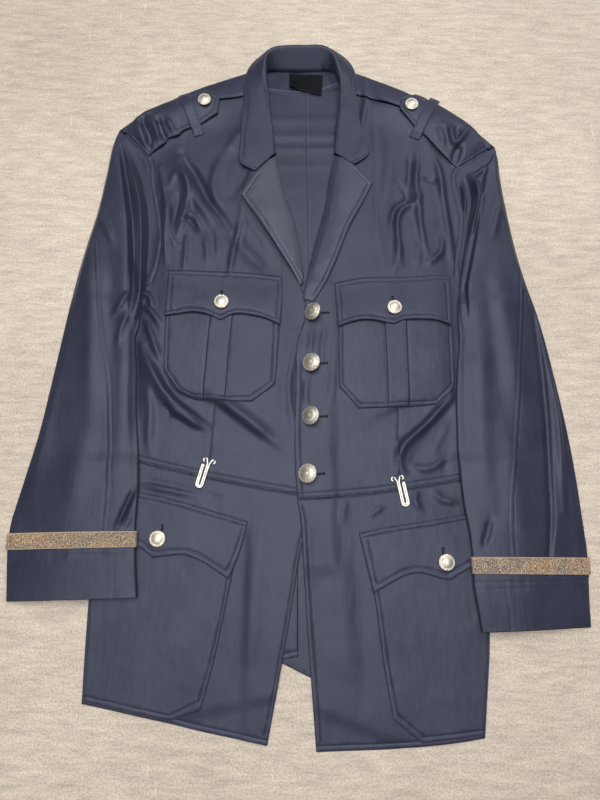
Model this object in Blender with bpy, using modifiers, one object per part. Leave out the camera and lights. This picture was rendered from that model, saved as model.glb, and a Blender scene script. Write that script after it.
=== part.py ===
"""Military uniform jacket laid flat on its back, buttoned, sleeves at its sides.

Blender 4.5 script. Tables and lengths are in millimetres and are turned into
metres when a mesh is made. +X is the picture's right (the wearer's left), +Y
points to the collar, +Z is up. The back lies on z = 0 and the origin is at the
bottom centre of the whole garment. Right and left in names are the wearer's.
"""
import math
from collections import namedtuple

import bmesh
import bpy
from mathutils import Matrix, Vector

MM = 0.001

# Cloth and how the layers lie on each other
CLOTH = 1.3
GAP = 0.3
LAYER = CLOTH + GAP
SEAM = 0.3               # gap beside the armhole seam

# Metal
FRONT_BUTTON = 22.0
SMALL_BUTTON = 17.5
WIRE = 1.8

NAVY = (0.030, 0.034, 0.060, 1.0)
INSIDE_NAVY = (0.022, 0.025, 0.046, 1.0)
BLACK_LABEL = (0.010, 0.010, 0.012, 1.0)
TWEED = (0.235, 0.180, 0.120, 1.0)
PALE_METAL = (0.66, 0.62, 0.53, 1.0)
STEEL = (0.72, 0.70, 0.66, 1.0)

Section = namedtuple("Section", "left_x left_y right_x right_y bow")
ShoulderRow = namedtuple("ShoulderRow", "share neck_x neck_y bow rise")
SleeveSection = namedtuple("SleeveSection", "outer_x outer_y inner_x inner_y curve puff")
CollarSection = namedtuple(
    "CollarSection", "roll_x roll_y bearing seam_out seam_z roll_z edge_out")
Fold = namedtuple("Fold", "from_x from_y to_x to_y sag width height")
Point = namedtuple("Point", "x y")

# Side seams of the body, as (y, x) pairs from armpit to hem
RIGHT_SIDE = ((72, -190), (35, -197), (-9, -205), (-71, -212), (-134, -218),
              (-187, -221), (-253, -224), (-296, -225), (-359, -224), (-397, -223))
LEFT_SIDE = ((78, 203), (30, 204), (-71, 205), (-142, 206), (-209, 207),
             (-274, 207), (-328, 206), (-386, 199), (-429, 193))

# Armhole seams, from shoulder tip to armpit
RIGHT_ARMHOLE = (Point(-238, 303), Point(-217, 281), Point(-197, 257), Point(-192, 225),
                 Point(-185, 190), Point(-178, 145), Point(-181, 105), Point(-190, 73))
LEFT_ARMHOLE = (Point(262, 277), Point(235, 258), Point(209, 238), Point(210, 205),
                Point(214, 172), Point(209, 138), Point(204, 107), Point(203, 79))
ARMHOLE_ROWS = 8

# How far past the back's hem the fronts come down to the floor
HEM_DROP = 44

# Panels of the body, a row for each section from the shoulder down
RIGHT_FRONT_TOP = (ShoulderRow(0.0535, -62, 361, 3, 1), ShoulderRow(0.125, -58, 322, 2, 1),
                   ShoulderRow(0.1875, -51, 294, 0, 1))
RIGHT_FRONT_EDGE = ((276, -45), (259, -36), (214, -20), (167, -6), (97, 4), (66, 9), (42, 31),
                    (-60, 33), (-130, 32), (-184, 23))
LEFT_FRONT_TOP = (ShoulderRow(0.0535, 76, 361, -3, 1), ShoulderRow(0.125, 74, 322, -2, 1),
                  ShoulderRow(0.1875, 69, 294, 0, 1))
LEFT_FRONT_EDGE = ((278, 66), (260, 59), (246, 49), (214, 42), (167, 34), (120, 21), (90, 14.5),
                   (51, 9.5), (30, 8), (-2, 0), (-61, -2), (-130, -3), (-186.5, 0))

RIGHT_WAIST = Section(-218, -134, 23, -184, -4)
LEFT_WAIST = Section(0, -186.5, 206, -161, -4)

RIGHT_FRONT_SKIRT = (
    Section(-218, -134.3, 23, -184.3, -4),
    Section(-221, -187, 12, -215, -2),
    Section(-224, -253, 3, -250, 0),
    Section(-225, -296, -5, -300, 0),
    Section(-224, -359, -16, -362, 0),
    Section(-223, -397, -30, -436, 0))
LEFT_FRONT_SKIRT = (
    Section(0, -186.8, 206, -161.3, -4),
    Section(4, -212, 207, -205, -2),
    Section(7, -256, 207, -262, 0),
    Section(11, -320, 206, -328, 0),
    Section(16, -388, 199, -386, 0),
    Section(20, -442, 193, -429, 0))

# The back: its centre seam and neckline from the waist up, then the rows that come
# over the shoulder to the forward shoulder seam. Share is how far down the armhole
# a row starts, rise its part of the front's height.
RIGHT_BACK_EDGE = (Point(11.8, -160), Point(12.8, -60), Point(13.3, 90), Point(13, 170),
                   Point(11, 270), Point(9, 398), Point(-40, 397), Point(-62, 393))
LEFT_BACK_EDGE = (Point(12.1, -160), Point(13.1, -60), Point(13.6, 90), Point(13.3, 170),
                  Point(11.3, 270), Point(9.3, 398), Point(48, 397), Point(73, 393))
RIGHT_SHOULDER = (
    ShoulderRow(0.03, -65, 393, 7, 0),
    ShoulderRow(0.012, -66, 397, 8, 0.25),
    ShoulderRow(0.008, -66, 398, 8, 0.6),
    ShoulderRow(0.015, -65, 395, 8, 0.93),
    ShoulderRow(0.026, -64, 389, 7, 1),
    ShoulderRow(0.05, -62, 361.3, 3, 1))
LEFT_SHOULDER = (
    ShoulderRow(0.03, 76, 393, -9, 0),
    ShoulderRow(0.012, 77, 397, -11, 0.25),
    ShoulderRow(0.008, 77, 398, -11, 0.6),
    ShoulderRow(0.015, 77, 395, -11, 0.93),
    ShoulderRow(0.026, 77, 389, -9, 1),
    ShoulderRow(0.05, 76, 361.3, -3, 1))

# Vent of the back skirt: the right skirt laps over the left one
VENT_TOP = -236
RIGHT_BACK_SKIRT = (
    Section(-218, -134.3, 11.8, -160.3, 0),
    Section(-222, -225, 11.8, -225, 0),
    Section(-223, -239, 2, -239, 0),
    Section(-225, -296, 1.5, -296, 0),
    Section(-223, -396, 1.5, -351, 0))
LEFT_BACK_SKIRT = (
    Section(12.1, -160.3, 206, -161.3, 0),
    Section(12.1, -236, 207, -225, 0),
    Section(-29, -242, 207, -240, 0),
    Section(-29, -296, 207, -300, 0),
    Section(-29, -352, 193, -428, 10))

# Lapels, turned out over the fronts
RIGHT_LAPEL = (
    Section(-51, 237, -28.5, 261, 0),
    Section(-73, 203, -19, 222, 0),
    Section(-62, 186, -12, 198, 0),
    Section(-43, 158, -3, 167, 0),
    Section(-18, 118, 5, 124, 0),
    Section(1, 84, 8.5, 90, 0),
    Section(3.5, 76, 7.5, 79, 0))
LEFT_LAPEL = (
    Section(48, 261, 73, 245, 0),
    Section(40, 225, 98, 219, 0),
    Section(35, 190, 84, 190, 0),
    Section(28, 160, 66, 155, 0),
    Section(19, 125, 50, 113, 0),
    Section(11, 88, 34, 77, 0),
    Section(7.5, 58, 20, 53, 0))

COLLAR_ROLL = 2.3
COLLAR = (
    CollarSection(-29, 266.5, 228, 9, 1.6, 6.0, 38),
    CollarSection(-30, 273, 219, 11, 1.6, 6.5, 46),
    CollarSection(-31, 283, 213, 14, 1.8, 7.0, 54),
    CollarSection(-33, 301, 202, 17, 2.5, 7.8, 46),
    CollarSection(-36, 324, 188, 19, 3.5, 9.0, 39),
    CollarSection(-39, 350, 180, 19, 4.0, 11.0, 34),
    CollarSection(-42, 376, 172, 14, 3.5, 14.0, 31),
    CollarSection(-43, 396, 158, 2, 2.5, 18.0, 25),
    CollarSection(-40, 411, 135, -13, 1.8, 21.0, 18),
    CollarSection(-29, 418, 108, -19, 1.8, 23.0, 17),
    CollarSection(-8, 420, 93, -21, 1.8, 23.5, 17),
    CollarSection(12, 420, 90, -21, 1.8, 23.5, 17),
    CollarSection(32, 420, 84, -21, 1.8, 23.5, 17),
    CollarSection(46, 413, 48, -15, 1.8, 21.5, 20),
    CollarSection(53, 396, 20, 0, 2.5, 18.0, 25),
    CollarSection(58, 374, 0, 12, 3.5, 13.5, 22),
    CollarSection(57, 350, -2, 16, 4.0, 10.5, 23),
    CollarSection(54, 324, -8, 17, 3.5, 9.0, 29),
    CollarSection(51, 300, -16, 16, 2.5, 7.8, 38),
    CollarSection(50, 284, -20, 14, 1.8, 7.0, 48),
    CollarSection(49.5, 275, -27, 11, 1.6, 6.5, 42),
    CollarSection(49, 267, -38, 9, 1.6, 6.0, 31))

NECK_FACING = (
    Section(-43, 391, 53, 391, 4),
    Section(-47, 378, 58, 382, -5),
    Section(-42, 367, 58, 376, -10))
NECK_LABEL = (
    Section(-11, 396, 35, 393, 0),
    Section(-11.5, 381, 34, 376, 0),
    Section(-11, 373, 32.5, 360, 0))

# Chest pockets with a box pleat and a pointed flap
RIGHT_CHEST_POCKET = (
    Section(-161, 50, -22, 44, 0),
    Section(-161, 30, -22, 22, 0),
    Section(-159, -38, -25, -49, 0),
    Section(-141, -61, -53, -73, -3))
LEFT_CHEST_POCKET = (
    Section(50, 40, 187, 44, 0),
    Section(50, 18, 187, 20, 0),
    Section(50, -55, 186, -56, 0),
    Section(74, -80, 162, -78, 0))
RIGHT_CHEST_FLAP = (Section(-161, 96, -18, 88, 2), Section(-161, 35, -21, 24, 0))
LEFT_CHEST_FLAP = (Section(47, 81, 190, 89, 2), Section(49, 21, 188, 24, 0))

# Hip pockets reach the side seam and the hem
RIGHT_HIP_POCKET = (
    Section(-219, -215, -66, -250, 0),
    Section(-220, -296, -76, -300, 0),
    Section(-219, -350, -87, -356, 0),
    Section(-218, -382, -98, -399, 0),
    Section(-218, -395, -131, -413, 0))
LEFT_HIP_POCKET = (
    Section(78, -262, 200, -240, 0),
    Section(85, -300, 200, -300, 0),
    Section(91, -357, 200, -352, 0),
    Section(99, -411, 193, -400, 0),
    Section(131, -433, 189, -427, 0))
RIGHT_HIP_FLAP = (Section(-218, -171, -55, -211, 0), Section(-219, -232, -74, -273, 0))
LEFT_HIP_FLAP = (Section(69, -224, 201, -203, 3), Section(81, -288, 201, -264, 0))

# How far round each point of a pocket or flap the front below it is looked at
CHEST_REACH = 16.0
HIP_REACH = 8.0

# How many layers of pocket each flap clears
CHEST_FLAP_LAYERS = 1.95
HIP_FLAP_LAYERS = 1.1

# Where along its lower edge each flap has its point, and how deep it scallops
CHEST_POINT = 0.47
RIGHT_HIP_POINT = 0.44
LEFT_HIP_POINT = 0.66
SCALLOP = 10

# Sleeves: from the armhole to the cuff, puff is how far the top layer stands off
RIGHT_SLEEVE = (
    SleeveSection(-238, 303, -190, 73, 1.0, 0),
    SleeveSection(-246, 275, -198, 64, 0.8, 3),
    SleeveSection(-250, 235, -202, 54, 0.55, 5),
    SleeveSection(-257, 180, -201, 42, 0.3, 6),
    SleeveSection(-266, 135, -198, 22, 0.12, 6),
    SleeveSection(-274, 90, -195, 2, 0, 6),
    SleeveSection(-282, 30, -191, -34, 0, 6),
    SleeveSection(-290, -38, -188, -78, 0, 6),
    SleeveSection(-299, -108, -182, -128, 0, 5),
    SleeveSection(-309, -160, -178, -172, 0, 4),
    SleeveSection(-318, -208, -178, -210, 0, 3),
    SleeveSection(-319.5, -236, -176.5, -235, 0, 2.5))
LEFT_SLEEVE = (
    SleeveSection(262, 277, 203, 79, 1.0, 0),
    SleeveSection(265, 255, 207, 70, 0.8, 3),
    SleeveSection(266, 222, 206, 58, 0.55, 5),
    SleeveSection(270, 175, 203, 44, 0.3, 6),
    SleeveSection(276, 125, 199, 24, 0.12, 6),
    SleeveSection(283, 86, 195, 2, 0, 6),
    SleeveSection(296, 28, 190, -36, 0, 6),
    SleeveSection(306, -38, 186, -80, 0, 6),
    SleeveSection(314, -108, 184, -138, 0, 5),
    SleeveSection(318, -165, 186, -190, 0, 4),
    SleeveSection(319.5, -218, 190, -228, 0, 3),
    SleeveSection(319.5, -240, 190.5, -245, 0, 2.5),
    SleeveSection(319.5, -262, 191, -263, 0, 2.5))
RIGHT_CUFF = (
    SleeveSection(-319.5, -236.3, -176.5, -235.3, 0, 2.5),
    SleeveSection(-317.5, -258, -175, -256, 0, 3),
    SleeveSection(-314, -296, -171, -292, 0, 3.5))
LEFT_CUFF = (
    SleeveSection(319.5, -262.3, 191, -263.3, 0, 2.5),
    SleeveSection(317, -280, 190.5, -285, 0, 3),
    SleeveSection(315, -322, 196, -327, 0, 3.5))
RIGHT_BRAID = (
    SleeveSection(-319.5, -224, -177, -222, 0, 2.5),
    SleeveSection(-319.4, -242, -176.3, -239, 0, 2.5))
LEFT_BRAID = (
    SleeveSection(319.5, -250, 190.7, -249.5, 0, 2.5),
    SleeveSection(319.2, -268, 190.9, -267, 0, 2.5))

# The outer part of each sleeve lies in a pleat over the sleeve head, as (y, x)
RIGHT_PLEAT = ((296, -241), (272, -233), (234, -227), (191, -219), (162, -213),
               (121, -208), (75, -203), (60, -203))
LEFT_PLEAT = ((272, 261), (244, 247), (210, 239), (196, 235), (150, 226),
              (111, 217), (75, 208), (60, 207))
PLEAT_RISE = 5.5

# One side's seams, read together: toward is +1 where the body lies to the right
Arm = namedtuple("Arm", "armhole side pleat inner braid_y toward")
RIGHT_ARM = Arm(RIGHT_ARMHOLE, RIGHT_SIDE, RIGHT_PLEAT,
                [(row.inner_y, row.inner_x) for row in RIGHT_SLEEVE + RIGHT_CUFF], -232, 1)
LEFT_ARM = Arm(LEFT_ARMHOLE, LEFT_SIDE, LEFT_PLEAT,
               [(row.inner_y, row.inner_x) for row in LEFT_SLEEVE + LEFT_CUFF], -258.5, -1)

# How far the braid stands off the sleeve end that it is sewn round
BRAID_STAND = CLOTH + 0.5

# How many sections of a sleeve table get one more between them, from the armhole down
HEAD_SECTIONS = 5

# Shoulder straps and their carriers
RIGHT_STRAP = (
    Section(-229, 298, -197, 263, 0),
    Section(-211, 318, -173, 281, 0),
    Section(-180, 337, -150, 299, 0),
    Section(-150, 350, -127, 312, 0),
    Section(-127, 356, -111, 323, 0),
    Section(-109, 349, -105, 337, 0))
LEFT_STRAP = (
    Section(209, 245, 251, 272, 0),
    Section(193, 261, 235, 299, 0),
    Section(171, 285, 203, 329, 0),
    Section(154, 301, 179, 347, 0),
    Section(141, 316, 160, 352, 0),
    Section(138, 329, 143, 345, 0))
RIGHT_CARRIER = (Point(-152, 355), Point(-131, 299))
LEFT_CARRIER = (Point(186, 348), Point(156, 291))
CARRIER_WIDTH = 15.0

FRONT_BUTTONS = (Point(20, 39), Point(18, -26), Point(17, -91), Point(13, -158))
CHEST_BUTTONS = (Point(-93, 53), Point(119, 46))
HIP_BUTTONS = (Point(-153, -230), Point(163, -255))
STRAP_BUTTONS = (Point(-125, 343), Point(153, 336))

# Belt hooks of doubled wire, which hang from their two end rings
RIGHT_HOOK = (-99.5, -141)
LEFT_HOOK = (113.5, -161)
RIGHT_HOOK_LEAN = -15.5
LEFT_HOOK_LEAN = 10.5
HOOK_EYE = 4.65
HOOK_RING = 2.1
HOOK_PITCH = 2.15
HOOK_BEND = 1.8
HOOK_DROP = 30.0
HOOK_TIP = 9.0

# Large folds of the body, ridges above zero and troughs below
BODY_FOLDS = (
    Fold(-234, 292, -78, 362, 4, 34, 6.0),
    Fold(256, 268, 86, 360, -4, 34, 6.0),
    Fold(-135, 285, -66, 128, -14, 13, 4.5),
    Fold(-160, 262, -100, 152, -10, 9, 3.0),
    Fold(-172, 232, -160, 118, 6, 8, 3.2),
    Fold(-137, 210, -122, 110, 2, 9, 2.6),
    Fold(-100, 300, -36, 190, -6, 14, 3.0),
    Fold(118, 290, 76, 130, 10, 12, 3.4),
    Fold(150, 262, 128, 104, 8, 9, 3.4),
    Fold(182, 236, 160, 104, 8, 8, 3.6),
    Fold(196, 205, 192, 104, -5, 7, 4.0),
    Fold(100, 262, 106, 110, -6, 8, 2.2),
    Fold(-198, -18, -88, -112, -14, 6.0, 4.6),
    Fold(-176, -68, -112, -128, -6, 8, 3.0),
    Fold(200, -62, 128, -134, 12, 8, 4.2),
    Fold(196, -112, 124, -166, -8, 8, 4.6),
    Fold(-196, 64, -168, 22, 6, 7, 3.6),
    Fold(200, 60, 194, -60, 6, 8, 2.6))

# Large folds of the sleeves
SLEEVE_FOLDS = (
    Fold(-219, 258, -192, 112, -16, 7, 5.5),
    Fold(-262, 150, -236, -80, 10, 11, 3.0),
    Fold(-226, 60, -206, -150, 6, 9, 3.2),
    Fold(-288, -20, -296, -190, -4, 10, 2.6),
    Fold(-240, -90, -250, -212, 4, 12, 2.2),
    Fold(227, 232, 208, 96, -12, 7, 5.0),
    Fold(244, 160, 262, -110, 8, 12, 3.4),
    Fold(222, 40, 214, -190, -6, 10, 3.0),
    Fold(290, 20, 300, -190, 6, 9, -3.0),
    Fold(304, -20, 309, -200, 3, 8, 2.6),
    Fold(240, -110, 246, -240, 4, 12, 2.2))


def smooth(t):
    """Ease from 0 to 1."""
    t = min(max(t, 0.0), 1.0)
    return t * t * (3.0 - 2.0 * t)


def lerp(a, b, t):
    return a + (b - a) * t


def across(pairs, y):
    """The x of a line given as (y, x) pairs that run down the garment."""
    if y >= pairs[0][0]:
        return pairs[0][1]
    for (y0, x0), (y1, x1) in zip(pairs, pairs[1:]):
        if y >= y1:
            return lerp(x0, x1, (y0 - y) / (y0 - y1))
    return pairs[-1][1]


def spline(rows, position):
    """Read a table of equal-length rows as one smooth curve, position in rows."""
    last = len(rows) - 1
    index = min(int(position), last - 1)
    t = position - index
    before = rows[max(index - 1, 0)]
    start, end = rows[index], rows[index + 1]
    after = rows[min(index + 2, last)]
    values = []
    for p0, p1, p2, p3 in zip(before, start, end, after):
        values.append(0.5 * (2 * p1 + (p2 - p0) * t + (2 * p0 - 5 * p1 + 4 * p2 - p3) * t * t
                             + (3 * p1 - p0 - 3 * p2 + p3) * t ** 3))
    return type(start)(*values) if hasattr(start, "_fields") else tuple(values)


def between(points, share):
    """A place along a line of points, with straight runs between them."""
    position = share * (len(points) - 1)
    index = min(int(position), len(points) - 2)
    return Vector(points[index]).lerp(Vector(points[index + 1]), position - index)


def fold_height(folds, x, y):
    """Sum of soft ridges and troughs at one place."""
    total = 0.0
    for fold in folds:
        run_x = fold.to_x - fold.from_x
        run_y = fold.to_y - fold.from_y
        length = math.hypot(run_x, run_y)
        t = ((x - fold.from_x) * run_x + (y - fold.from_y) * run_y) / length ** 2
        if not 0.0 < t < 1.0:
            continue
        off = ((y - fold.from_y) * run_x - (x - fold.from_x) * run_y) / length
        off -= fold.sag * 4 * t * (1 - t)
        taper = smooth(t / 0.3) * smooth((1 - t) / 0.3)
        total += fold.height * taper * math.exp(-(off / fold.width) ** 2)
    return total


def hem_line(section, x):
    """The y of a hem at one x."""
    share = (x - section.left_x) / (section.right_x - section.left_x)
    bow = section.bow * 4 * share * (1 - share)
    return lerp(section.left_y, section.right_y, share) + bow


def back_hem(x):
    """The hem of the back, which is shorter at its centre than at the side seams."""
    if x < LEFT_BACK_SKIRT[-1].left_x:
        return hem_line(RIGHT_BACK_SKIRT[-1], x)
    if x > RIGHT_BACK_SKIRT[-1].right_x:
        return hem_line(LEFT_BACK_SKIRT[-1], x)
    return min(hem_line(RIGHT_BACK_SKIRT[-1], x), hem_line(LEFT_BACK_SKIRT[-1], x))


def vent_rise(x, y):
    """What the lapped vent lifts the cloth that lies on it."""
    inside = smooth((x + 60) / 12) * smooth((20 - x) / 12)
    return LAYER * inside * smooth((VENT_TOP + 26 - y) / 14)


def beside_sleeves(x, y):
    """From 0 under the sleeves, which press the body flat, to 1 beside them."""
    free = 1.0
    for arm in (RIGHT_ARM, LEFT_ARM):
        past = smooth((arm.toward * (x - across(arm.inner, y)) - 10) / 16)
        free *= 1 - (1 - past) * smooth((72 - y) / 14)
    return free


def front_low(x, y):
    """Underside of the cloth that lies on the back."""
    base = LAYER * smooth((y - back_hem(x) + HEM_DROP) / 16)
    folds = max(fold_height(BODY_FOLDS, x, y), 0.0) * beside_sleeves(x, y)
    return base + vent_rise(x, y) + folds


def front_top(x, y):
    return front_low(x, y) + CLOTH


def lap_rise(x, y):
    """The left front laps over the right one along the buttons."""
    upper = smooth((94 - y) / 20)
    lower = smooth((y + 275) / 20)
    return (LAYER + GAP) * upper * lower * smooth((50 - x) / 14)


def left_front_low(x, y):
    return front_low(x, y) + lap_rise(x, y)


def left_front_top(x, y):
    return left_front_low(x, y) + CLOTH


def over(top, x, y, reach=5.0):
    """Height that clears what lies below within a few millimetres."""
    half = reach / 2
    around = ((0, 0), (reach, 0), (-reach, 0), (0, reach), (0, -reach),
              (half, half), (-half, half), (half, -half), (-half, -half))
    return max(top(x + dx, y + dy) for dx, dy in around) + GAP


def straight_rows(sections, columns, rows_each):
    """Plan points across each section of a table, with rows between them."""
    plan = []
    count = (len(sections) - 1) * rows_each
    for row in range(count + 1):
        index = min(row // rows_each, len(sections) - 2)
        t = (row - index * rows_each) / rows_each
        start, end = sections[index], sections[index + 1]
        section = Section(*(lerp(a, b, t) for a, b in zip(start[:5], end[:5])))
        plan.append(section_points(section, columns))
    return plan


def section_points(section, columns):
    """Points from left to right across one section."""
    shares = columns if isinstance(columns, (list, tuple)) else [
        i / columns for i in range(columns + 1)]
    run = Vector((section.right_x - section.left_x, section.right_y - section.left_y))
    side = Vector((-run.y, run.x)).normalized()
    points = []
    for share in shares:
        base = Vector((section.left_x, section.left_y)) + run * share
        points.append(base + side * section.bow * 4 * share * (1 - share))
    return points


def armhole_point(seam, share):
    """The armhole seam in straight steps, the same ones for every piece on it."""
    step = min(int(share * ARMHOLE_ROWS), ARMHOLE_ROWS - 1)
    ends = [Vector(spline(seam, (step + i) / ARMHOLE_ROWS * (len(seam) - 1))) for i in (0, 1)]
    return ends[0].lerp(ends[1], share * ARMHOLE_ROWS - step)


def seam_point(arm, share):
    """The body's side of the armhole seam, a gap away from the sleeve."""
    shift = Vector((arm.toward, smooth((0.4 - share) / 0.1))) * SEAM
    return armhole_point(arm.armhole, share) + shift


def shoulder_points(arm, row, columns):
    """A row that runs from the armhole to the neck, given from left to right."""
    start, end = seam_point(arm, row.share), Vector((row.neck_x, row.neck_y))
    if arm.toward < 0:
        start, end = end, start
    return section_points(Section(start.x, start.y, end.x, end.y, row.bow), columns)


def plain_material(name, color, roughness, metallic=0.0):
    material = bpy.data.materials.new(name)
    material.use_nodes = True
    shader = material.node_tree.nodes["Principled BSDF"]
    shader.inputs["Base Color"].default_value = color
    shader.inputs["Roughness"].default_value = roughness
    shader.inputs["Metallic"].default_value = metallic
    return material


def add_object(name, mesh, collection, color, roughness=0.75, metallic=0.0):
    """Link a mesh to the garment under its own material."""
    made = bpy.data.objects.new(name, mesh)
    mesh.materials.clear()
    mesh.materials.append(plain_material(name + "_finish", color, roughness, metallic))
    collection.objects.link(made)
    return made


def loft(rings, closed_ring):
    """Mesh through rings of points in millimetres, with its faces made consistent."""
    shape = bmesh.new()
    rows = [[shape.verts.new(Vector(p) * MM) for p in ring] for ring in rings]
    count = len(rows[0])
    spans = count if closed_ring else count - 1
    for low, high in zip(rows, rows[1:]):
        for i in range(spans):
            j = (i + 1) % count
            shape.faces.new((low[i], low[j], high[j], high[i]))
    return shape, rows


def finish_mesh(name, shape):
    bmesh.ops.recalc_face_normals(shape, faces=shape.faces)
    mesh = bpy.data.meshes.new(name)
    shape.to_mesh(mesh)
    shape.free()
    return mesh


def slab(name, plan, low, collection, color=NAVY, thickness=CLOTH):
    """A panel of cloth: its plan points at the height low(x, y), and as thick above."""
    rings = []
    for points in plan:
        under = [(p[0], p[1], low(p[0], p[1])) for p in points]
        over = [(p[0], p[1], low(p[0], p[1]) + thickness) for p in reversed(points)]
        rings.append(under + over)
    shape, rows = loft(rings, closed_ring=True)
    half = len(plan[0])
    for row in (rows[0], rows[-1]):
        for i in range(half - 1):
            shape.faces.new((row[i], row[i + 1], row[2 * half - 2 - i], row[2 * half - 1 - i]))
    return add_object(name, finish_mesh(name, shape), collection, color)


def front_panel(name, top, arm, edge, waist, low, collection):
    """A front from the shoulder seam, past the armhole, to the waist seam."""
    columns = 11
    side_rows = 12
    plan = [shoulder_points(arm, row, columns) for row in top]
    outer = [seam_point(arm, row / ARMHOLE_ROWS) for row in range(2, ARMHOLE_ROWS + 1)]
    armpit_y = outer[-1].y
    waist_y = waist.left_y if arm.toward > 0 else waist.right_y
    for row in range(1, side_rows):
        y = lerp(armpit_y, waist_y, row / side_rows)
        outer.append(Vector((across(arm.side, y) + SEAM * arm.toward, y)))
    first, last = edge[0][0], edge[-1][0]
    for index, point in enumerate(outer):
        y = lerp(first, last, index / len(outer))
        ends = sorted((tuple(point), (across(edge, y), y)))
        plan.append(section_points(Section(*ends[0], *ends[1], 0), columns))
    plan.append(section_points(waist, columns))
    return slab(name, plan, low, collection)


def back_panel(name, arm, edge, shoulder, waist_y, collection):
    """The back with the strip that comes over the shoulder, thickened inwards."""
    columns = 8
    side_rows = 3
    outer = []
    for row in range(side_rows):
        y = lerp(waist_y, arm.armhole[-1].y, row / side_rows)
        outer.append(Vector((across(arm.side, y) + SEAM * arm.toward, y)))
    outer += [seam_point(arm, row / ARMHOLE_ROWS) for row in range(ARMHOLE_ROWS, 0, -1)]
    rings = []
    for index, point in enumerate(outer):
        inner = between(edge, index / (len(outer) - 1))
        ends = (point, inner) if arm.toward > 0 else (inner, point)
        rings.append([tuple(ends[0].lerp(ends[1], i / columns)) + (0.0,)
                      for i in range(columns + 1)])
    for row in shoulder:
        points = shoulder_points(arm, row, columns)
        rings.append([(p.x, p.y, row.rise * front_top(p.x, p.y)) for p in points])
    return shell(name, rings, collection)


def shell(name, rings, collection):
    """An open surface with its cloth added on the inner side."""
    shape, _ = loft(rings, closed_ring=False)
    mesh = finish_mesh(name, shape)
    lowest = min(mesh.polygons, key=lambda face: face.center.z)
    if lowest.normal.z > 0:
        mesh.flip_normals()
    made = add_object(name, mesh, collection, NAVY)
    wall = made.modifiers.new("Cloth", "SOLIDIFY")
    wall.thickness = CLOTH * MM
    wall.offset = -1.0
    wall.use_even_offset = True
    return made


def add_backs(collection):
    back_panel("back_upper_right", RIGHT_ARM, RIGHT_BACK_EDGE, RIGHT_SHOULDER,
               RIGHT_WAIST.left_y, collection)
    back_panel("back_upper_left", LEFT_ARM, LEFT_BACK_EDGE, LEFT_SHOULDER,
               LEFT_WAIST.right_y, collection)

    def lapped(x, y):
        return LAYER * smooth((x + 48) / 14) * smooth((VENT_TOP + 12 - y) / 9)

    plan = straight_rows(RIGHT_BACK_SKIRT, (0, 0.4, 0.75, 0.8, 0.84, 0.9, 1), 2)
    slab("back_skirt_right", plan, lapped, collection)
    plan = straight_rows(LEFT_BACK_SKIRT, 3, 1)
    slab("back_skirt_left", plan, lambda x, y: 0.0, collection)


def add_fronts(collection):
    front_panel("front_upper_right", RIGHT_FRONT_TOP, RIGHT_ARM, RIGHT_FRONT_EDGE,
                RIGHT_WAIST, front_low, collection)
    front_panel("front_upper_left", LEFT_FRONT_TOP, LEFT_ARM, LEFT_FRONT_EDGE,
                LEFT_WAIST, left_front_low, collection)
    plan = straight_rows(RIGHT_FRONT_SKIRT, 10, 2)
    slab("front_skirt_right", plan, front_low, collection)
    plan = straight_rows(LEFT_FRONT_SKIRT, 10, 2)
    slab("front_skirt_left", plan, left_front_low, collection)


def add_lapels(collection):
    """Each lapel lies on its front and turns down over the roll line."""
    lift = 3.0
    turn = 2.6
    shares = (0.0, 0.25, 0.5, 0.75, 0.9)

    for name, table, top, toward in (("lapel_right", RIGHT_LAPEL, front_top, 1),
                                     ("lapel_left", LEFT_LAPEL, left_front_top, -1)):
        plan = []
        heights = {}
        for section in smooth_rows(table, 2):
            points = section_points(section, 1)
            outer, roll = (points[0], points[1]) if toward > 0 else (points[1], points[0])
            width = (roll - outer).length
            row = []
            for share in shares:
                row.append(outer.lerp(roll, share * (1 - turn / width)))
            row.append(roll - (roll - outer).normalized() * turn)
            row.append(roll)
            for index, point in enumerate(row):
                share = index / (len(row) - 1)
                swell = lift * min(width / 40, 1) * math.sin(math.pi * min(share * 1.05, 1) * 0.8)
                heights[tuple(point)] = over(top, point.x, point.y, 8) + swell
            fall = 1.9 * smooth((width - 6) / 6)
            heights[tuple(roll)] = max(heights[tuple(row[-2])] - fall, 0.4)
            plan.append(row)
        slab(name, plan, lambda x, y, h=heights: h[(x, y)], collection)


def smooth_rows(table, rows_each):
    """The sections of a table with smooth ones between them."""
    count = (len(table) - 1) * rows_each
    return [spline(table, row / rows_each) for row in range(count + 1)]


def rolled_profile(seam, centre, edge, radius):
    """Line that runs from the seam round the roll to the edge, in (out, height)."""
    def tangent_angle(point, sign):
        reach = math.hypot(point[0] - centre[0], point[1] - centre[1])
        toward = math.atan2(point[1] - centre[1], point[0] - centre[0])
        return toward + sign * math.acos(min(radius / reach, 1.0))

    start = tangent_angle(seam, -1)
    end = tangent_angle(edge, 1)
    while end > start:
        end -= 2 * math.pi
    arc = []
    steps = 5
    for step in range(steps + 1):
        angle = lerp(start, end, step / steps)
        arc.append((centre[0] + radius * math.cos(angle), centre[1] + radius * math.sin(angle)))
    line = [seam, (lerp(seam[0], arc[0][0], 0.5), lerp(seam[1], arc[0][1], 0.5))]
    line += arc
    for t in (0.35, 0.7):
        belly = 0.8 * math.sin(math.pi * t)
        line.append((lerp(arc[-1][0], edge[0], t), lerp(arc[-1][1], edge[1], t) + belly))
    line.append(edge)
    return line


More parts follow.
